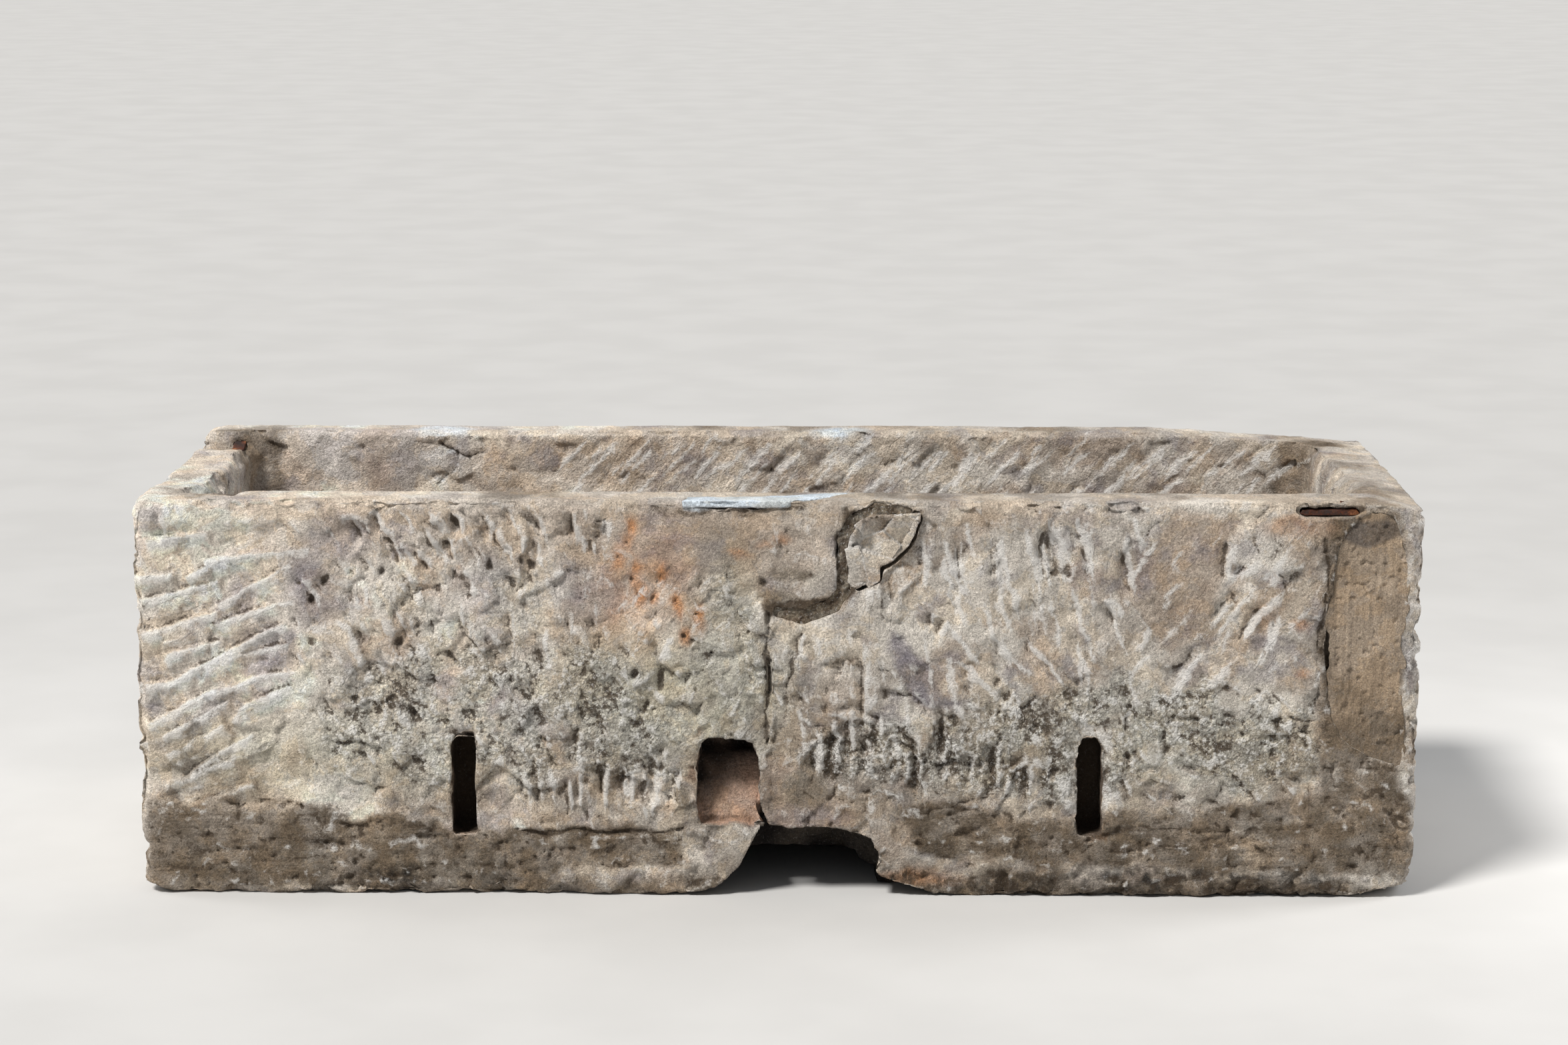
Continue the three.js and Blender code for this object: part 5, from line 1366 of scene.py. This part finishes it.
def tool_marks(shader, shares):
    """Fine terraces and scratches that run as the mesh's grain says: their height and their pale edges,
    which are partly painted highlights.
    """
    broken = shader.spread(shader.noise(22.0, 3.0), 0.48, 0.60)
    height = edges = 0.0
    for share, marks in zip(shares, GRAIN_MARKS):
        streak = shader.streaks(*marks)
        away = shader.math("ABSOLUTE", shader.minus(streak, 0.515))
        height = shader.total(height, (shader.spread(streak, 0.465, 0.535), share))
        edges = shader.total(edges, (shader.spread(away, 0.0, 0.028, 1.0, 0.0), share))
    return height, shader.times(edges, broken)


def trowel_lines(shader, turn):
    """Fine lines of a trowel, level or, where turn is 1, upright, and worn away in places."""
    trowel = shader.minus(shader.streaks(3.0, 0.055, 0.0075), 0.5)
    upright = shader.minus(shader.streaks(86.0, 0.060, 0.0050), 0.5)
    lines = shader.total(shader.times(upright, turn), (trowel, shader.minus(1.0, turn)))
    return shader.times(lines, shader.spread(shader.noise(18.0, 3.0), 0.40, 0.62, 0.15, 1.0))


def weathered(name, grain, bump, roughness, combing=0.0):
    """Stone or mortar: the mesh's tint, broken up by a rough grain that also holds dirt and chalk, and
    painted shade and highlights that follow its bump.
    """
    shader = Shader(name)
    colour = shader.attribute("tint")[0]
    _, (chalk_and_highlight, dirt_and_shade, crust), mortar = shader.attribute("marks")
    _, ways, _ = shader.attribute("grain")
    stone = shader.minus(1.0, mortar)
    terraces, edges = (shader.times(layer, stone) for layer in tool_marks(shader, ways))
    lines = shader.times(trowel_lines(shader, shader.plus(ways[1], combing, clamp=True)), mortar)

    hills = shader.minus(shader.noise(32.0, 6.0, 0.78, 0.25), 0.5)
    hills = shader.times(hills, shader.spread(mortar, 0.0, 1.0, 1.15, 0.70))
    grains = shader.minus(shader.noise(grain, 3.0, 0.8), 0.5)
    large, small = (shader.minus(0.42, shader.cells(scale)) for scale in (135.0, 300.0))
    clots = shader.times(shader.total(large, (small, 0.5)), shader.total(0.12, (crust, 0.85)))
    flakes = shader.spread(shader.noise(13.0, 8.0, 0.68, 0.3), 0.495, 0.530)
    scabs = shader.spread(shader.noise(46.0, 6.0, 0.70, 0.2), 0.515, 0.550)
    height = shader.total(hills, (grains, 0.60), (clots, 0.62), (flakes, 0.05), (scabs, 0.07),
                          (terraces, 0.17), (lines, 0.60))

    clouds = shader.noise(15.0, 6.0, 0.70)
    sand = shader.noise(430.0, 2.0, 0.7)
    # The fine layer follows the bump, so its low parts come out darker and its high parts paler: partly
    # grain tone, partly painted shade and highlights.
    fine = shader.total(grains, (hills, 0.45), (clots, 0.55), (lines, 0.45))
    for layer, *limits in ((clouds, 0.34, 0.66, 0.88, 1.10), (fine, -0.25, 0.25, 0.68, 1.26),
                           (sand, 0.33, 0.67, 0.84, 1.15), (scabs, 0.0, 1.0, 0.93, 1.07)):
        shade = shader.grey(shader.spread(layer, *limits))
        colour = shader.mix(1.0, colour, shade, "MULTIPLY")
    warm = shader.mix(flakes, (0.98, 0.99, 1.02), (1.04, 1.00, 0.955))
    colour = shader.mix(1.0, colour, warm, "MULTIPLY")
    # Painted highlights on the high parts of the bump and painted shade in its low parts, added to the
    # chalk and the dirt of the marks.
    pale = shader.spread(shader.total(chalk_and_highlight, (edges, 0.20), (height, 1.3)), 0.40, 1.05)
    colour = shader.mix(shader.times(pale, 0.70), colour, CHALK_AND_HIGHLIGHT_WHITE)
    grime_and_shade = shader.spread(shader.total(dirt_and_shade, (height, -1.3)), 0.34, 0.95)
    colour = shader.mix(shader.times(grime_and_shade, 0.84), colour, DIRT_AND_SHADE_BROWN)
    for scale, rough, low, high, least, share, speck in ((230.0, 0.6, 0.58, 0.66, 0.06, 0.40, CHALK_AND_HIGHLIGHT_WHITE),
                                                         (120.0, 0.55, 0.62, 0.70, 0.22, 0.45, DIRT_AND_SHADE_BROWN)):
        specks = shader.spread(shader.noise(scale, 3.0, rough), low, high)
        colour = shader.mix(shader.times(specks, shader.total(least, (crust, share))), colour, speck)
    rough = shader.spread(height, -0.25, 0.25, roughness + 0.06, roughness - 0.10)
    return shader.finish((height, bump), Base_Color=colour, Roughness=rough, Specular_IOR_Level=0.25)


def iron_material():
    """Old wrought iron: dark scale with orange and brown rust."""
    shader = Shader("rusted_iron")
    tint = shader.attribute("tint")[0]
    scale = shader.noise(85.0, 8.0, 0.7, 0.6)
    flakes = shader.noise(260.0, 5.0, 0.65)
    colour = shader.mix(shader.spread(scale, 0.48, 0.62), tint, RUST_BROWN)
    colour = shader.mix(shader.times(shader.spread(flakes, 0.55, 0.68), 0.55), colour, FRESH_RUST)
    height = shader.total(flakes, (scale, 1.5))
    rough = shader.spread(scale, 0.35, 0.65, 0.62, 0.90)
    return shader.finish((height, 0.0016), Base_Color=colour, Roughness=rough, Metallic=0.15)


# The repairs

def finished(piece, node, material):
    """Puts a made piece in place of its CAD node, with nothing outside the CAD box."""
    points, _ = mesh_arrays(piece.data)
    write_points(piece.data, np.clip(points, LOW + BOX_MARGIN, HIGH - BOX_MARGIN))
    piece.data.materials.clear()
    piece.data.materials.append(material)
    piece.data.polygons.foreach_set("use_smooth", [True] * len(piece.data.polygons))
    piece.data.update()
    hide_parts(node)
    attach(piece, "root")
    return piece


def reworked(node, name, voxel, relief, spread=0.0, seam=(1.0, 0.0, 1.0)):
    """A CAD node's mesh in small faces, pushed along its normals by a relief in millimetres.

    A repair set in the front face is spread by a few millimetres into the stone around it, so that no
    seam is left where the real mortar is smeared over its edge. The piece comes with its vertices' places.
    """
    piece = remeshed(node, name, voxel)
    points, normals = mesh_arrays(piece.data)
    level = normals * np.array(seam)
    uneven = 0.6 + 0.7 * space_octaves(points, 34.0, 3, 85.0)
    moved = points + normals * relief(points, normals)[:, None] + level * (spread * uneven)[:, None]
    if seam[2] and spread > 2.0:
        face = np.percentile(points[:, 1], 5)
        near = ramp(face + 14, face + 4, points[:, 1])
        moved[:, 1] -= 0.75 * near * np.maximum(points[:, 1] - face, 0.0)
    write_points(piece.data, within_box(moved))
    return piece, mesh_arrays(piece.data)[0]


def coloured(piece, tint, chalk_and_highlight=0.0, dirt_and_shade=0.0, crust=0.0, mortar=1.0):
    """Writes a repair's colour and marks into its mesh."""
    count = len(piece.data.vertices)
    write_colours(piece.data, "tint", [*np.clip(tint, *TINT_LIMITS).T, np.ones(count)])
    write_colours(piece.data, "marks", [np.zeros(count) + mark for mark in (chalk_and_highlight, dirt_and_shade, crust, mortar)])


def combed(points):
    """Vertical trowel combing that bends towards the left at its foot."""
    x, _, z = points.T
    bend = 70 * ramp(360, 235, z)
    return plane_noise(x + bend + 5 * plane_noise(x, z, 60.0, shift=71.0), z, 4.2, 150.0, 72.0)


def corner_fill():
    """Trowelled mortar where the front right corner was lost."""
    def relief(points, normals):
        x, _, z = points.T
        lumps = octaves(x, z, 55.0, 4, 73.0)
        holes = ramp(0.55, 0.9, octaves(x, z, 12.0, 2, 74.0))
        front = ramp(0.4, 0.8, -normals[:, 1])
        return front * (0.8 * combed(points) + 2.3 * lumps - 2.6 * holes - 1.6) + (1 - front) * 0.3 * lumps

    piece, points = reworked("corner_mortar_fill", "corner_mortar", CORNER_VOXEL, relief, spread=10.0)
    x, _, z = points.T
    comb = combed(points)
    lumps = octaves(x, z, 70.0, 4, 75.0)
    tint = mixed(MORTAR_TAN, MORTAR_PALE, 0.5 + 0.6 * lumps)
    # The left edge and the foot are darker brown, the left edge partly as painted shadow of the step beside
    # the stone; the comb grooves are darker and the comb ridges paler, partly painted shade and highlights.
    rim = np.maximum(ramp(912, 888, x), ramp(400, 262, z + 60 * lumps))
    tint = mixed(tint, MORTAR_BROWN, 0.75 * rim)
    tint = mixed(tint, GRIT_BROWN, 0.35 * ramp(0.1, 0.8, -comb) * ramp(-0.5, 0.4, lumps))
    dark = ramp(1.3, 0.7, np.hypot((x - 962) / 42, (z - 614) / 17) + 0.5 * lumps)
    tint = mixed(tint, MORTAR_DARK, 0.85 * dark)
    coloured(piece, tint, 0.4 * ramp(0.3, 0.9, comb), 0.5 * ramp(0.4, 1.0, -lumps))
    material = weathered("trowelled_mortar", 320.0, 0.0050, 0.90, combing=1.0)
    return finished(piece, "corner_mortar_fill", material)


def plaster_patch():
    """Thin white plaster over the break in the front rim."""
    def relief(points, normals):
        lip = ramp(0.3, 0.8, -normals[:, 1])
        ragged = space_octaves(points, 18.0, 4, 76.5, 0.6)
        return 1.6 * space_octaves(points, 26.0, 4, 76.0) - 0.2 - lip * (1.5 + 3.5 * ragged)

    piece, points = reworked("rim_plaster_patch", "rim_plaster", REPAIR_VOXEL, relief, 6.0, (1.0, 1.0, 0.0))
    cloud = space_octaves(points, 34.0, 4, 77.0)
    tint = mixed(PLASTER_WHITE, PLASTER_GREY, 0.4 + 0.6 * cloud)
    low = ramp(RIM - 6, RIM - 13, points[:, 2])
    coloured(piece, mixed(tint, GRIT_BROWN, 0.5 * low), 0.3, 0.35 * ramp(0.4, 0.9, cloud))
    return finished(piece, "rim_plaster_patch", weathered("lime_plaster", 360.0, 0.0030, 0.88))


def fragment(stone):
    """The broken piece of marble set back under the rim."""
    def relief(points, normals):
        x, _, z = points.T
        front = ramp(0.3, 0.8, -normals[:, 1])
        facets = hewn(x, z, 46.0, 0.30, 78.0)[0]
        return front * (1.2 * facets - 3.5) + 1.4 * space_octaves(points, 15.0, 3, 79.0) - 0.5

    piece, points = reworked("rim_fragment", "rim_fragment_stone", REPAIR_VOXEL, relief, spread=1.0)
    x, _, z = points.T
    cloud = octaves(x, z, 40.0, 4, 80.0)
    edge = hewn(x, z, 46.0, 0.22, 78.0)[1]
    tint = mixed(BEIGE, CREAM, 0.55 + 0.6 * cloud)
    tint = mixed(tint, TAN, 0.5 * ramp(0.1, 0.8, -cloud))
    pale = 0.8 * ramp(0.16, 0.02, edge)
    coloured(piece, tint, pale, 0.45 * ramp(0.1, 0.8, -cloud), mortar=0.0)
    return finished(piece, "rim_fragment", stone)


def fragment_bed():
    """Dark gritty mortar around the fragment."""
    def relief(points, normals):
        clots = 2.6 * space_octaves(points, 21.0, 3, 81.5)
        return clots + 1.8 * space_octaves(points, 8.0, 3, 81.0, falloff=0.7) - 1.0

    piece, points = reworked("fragment_mortar_bed", "fragment_mortar", REPAIR_VOXEL, relief, spread=5.0)
    grit = space_octaves(points, 7.0, 3, 82.0, falloff=0.7)
    tint = mixed(GRIT_BROWN, GRIT_PALE, 0.3 + 0.8 * grit)
    coloured(piece, tint, 0.0, 0.7 * ramp(0.0, 0.8, -grit), 0.8, mortar=0.2)
    material = weathered("gritty_mortar", 380.0, 0.0060, 0.93)
    return finished(piece, "fragment_mortar_bed", material)


def iron_cramp(node, name, material):
    """A rusty cramp, with a shallow scaly relief."""
    def relief(points, normals):
        return 0.8 * space_octaves(points, 9.0, 3, 83.0) - 0.5

    piece, points = reworked(node, name, IRON_VOXEL, relief)
    rust = space_octaves(points, 16.0, 4, 84.0)
    tint = mixed(IRON_BLACK, RUST_BROWN, 0.4 + 0.7 * rust)
    coloured(piece, mixed(tint, SCALE_BROWN, 0.7 * ramp(0.35, 0.9, rust)))
    return finished(piece, node, material)


# The studio

FLOOR_REACH = 150.0
FLOOR_DARK, FLOOR_PALE = (0.52, 0.515, 0.505), (0.55, 0.545, 0.535)
SKY_COLOUR, SKY_STRENGTH = (0.93, 0.96, 1.0, 1.0), 0.31
SUN_COLOUR, SUN_STRENGTH, SUN_ANGLE = (1.0, 0.975, 0.94), 4.0, 14
STRIP_SIZE = (0.5, 1.8)
CAMERA_PLACE = (0.0995, -5.9916, 1.7198)
CAMERA_TILT, CAMERA_TURN = 79.004, 0.887
LENS, SENSOR = 81.12, 36.0


def lamp(name, kind, place, target, energy, **settings):
    """A light at a place, turned towards a target."""
    light = bpy.data.lights.new(name, kind)
    light.energy = energy
    for setting, value in settings.items():
        setattr(light, setting, value)
    item = bpy.data.objects.new(name, light)
    item.location = place
    item.rotation_euler = (Vector(target) - item.location).to_track_quat("-Z", "Y").to_euler()
    bpy.context.scene.collection.objects.link(item)


def studio():
    """A pale floor, an even sky, a soft key light from the upper left and a tall strip at each end."""
    corners = [(x * FLOOR_REACH, y * FLOOR_REACH, 0) for x, y in ((-1, -1), (1, -1), (1, 1), (-1, 1))]
    plane = bpy.data.meshes.new("studio_floor")
    plane.from_pydata(corners, [], [(0, 1, 2, 3)])
    ground = bpy.data.objects.new("studio_floor", plane)
    shader = Shader("pale_floor")
    pale = shader.mix(shader.spread(shader.noise(3.0, 3.0, 0.5), 0.3, 0.7), FLOOR_DARK, FLOOR_PALE)
    plane.materials.append(shader.finish(Base_Color=pale, Roughness=0.85))
    bpy.context.scene.collection.objects.link(ground)

    world = bpy.data.worlds.new("studio")
    world.use_nodes = True
    background = world.node_tree.nodes["Background"]
    background.inputs["Color"].default_value = SKY_COLOUR
    background.inputs["Strength"].default_value = SKY_STRENGTH
    bpy.context.scene.world = world

    lamp("soft_key", "SUN", (-2.2, -2.1, 4.6), (0.0, 0.0, 0.3), SUN_STRENGTH,
         angle=math.radians(SUN_ANGLE), color=SUN_COLOUR)
    for name, side, watts in (("left_strip", -1, 12), ("right_strip", 1, 26)):
        lamp(name, "AREA", (2.5 * side, 0.1, 1.0), (1.05 * side, -0.35, 0.35), watts,
             shape="RECTANGLE", size=STRIP_SIZE[0], size_y=STRIP_SIZE[1])


def camera():
    """The view of the photograph, found by fitting the block's outline."""
    lens = bpy.data.cameras.new("photo_view")
    lens.lens, lens.sensor_width, lens.clip_end = LENS, SENSOR, 500.0
    view = bpy.data.objects.new("photo_view", lens)
    view.location = CAMERA_PLACE
    view.rotation_euler = (math.radians(CAMERA_TILT), 0.0, math.radians(CAMERA_TURN))
    bpy.context.scene.collection.objects.link(view)
    bpy.context.scene.camera = view


def main():
    bpy.context.scene.view_settings.view_transform = "Standard"
    camera()
    studio()
    stone = weathered("weathered_marble", 240.0, 0.0085, 0.84)
    finished(build_block(), "marble_trough", stone)
    corner_fill()
    plaster_patch()
    fragment(stone)
    fragment_bed()
    iron = iron_material()
    iron_cramp("front_iron_cramp", "front_cramp", iron)
    iron_cramp("back_left_iron_cramp", "back_left_cramp", iron)


main()
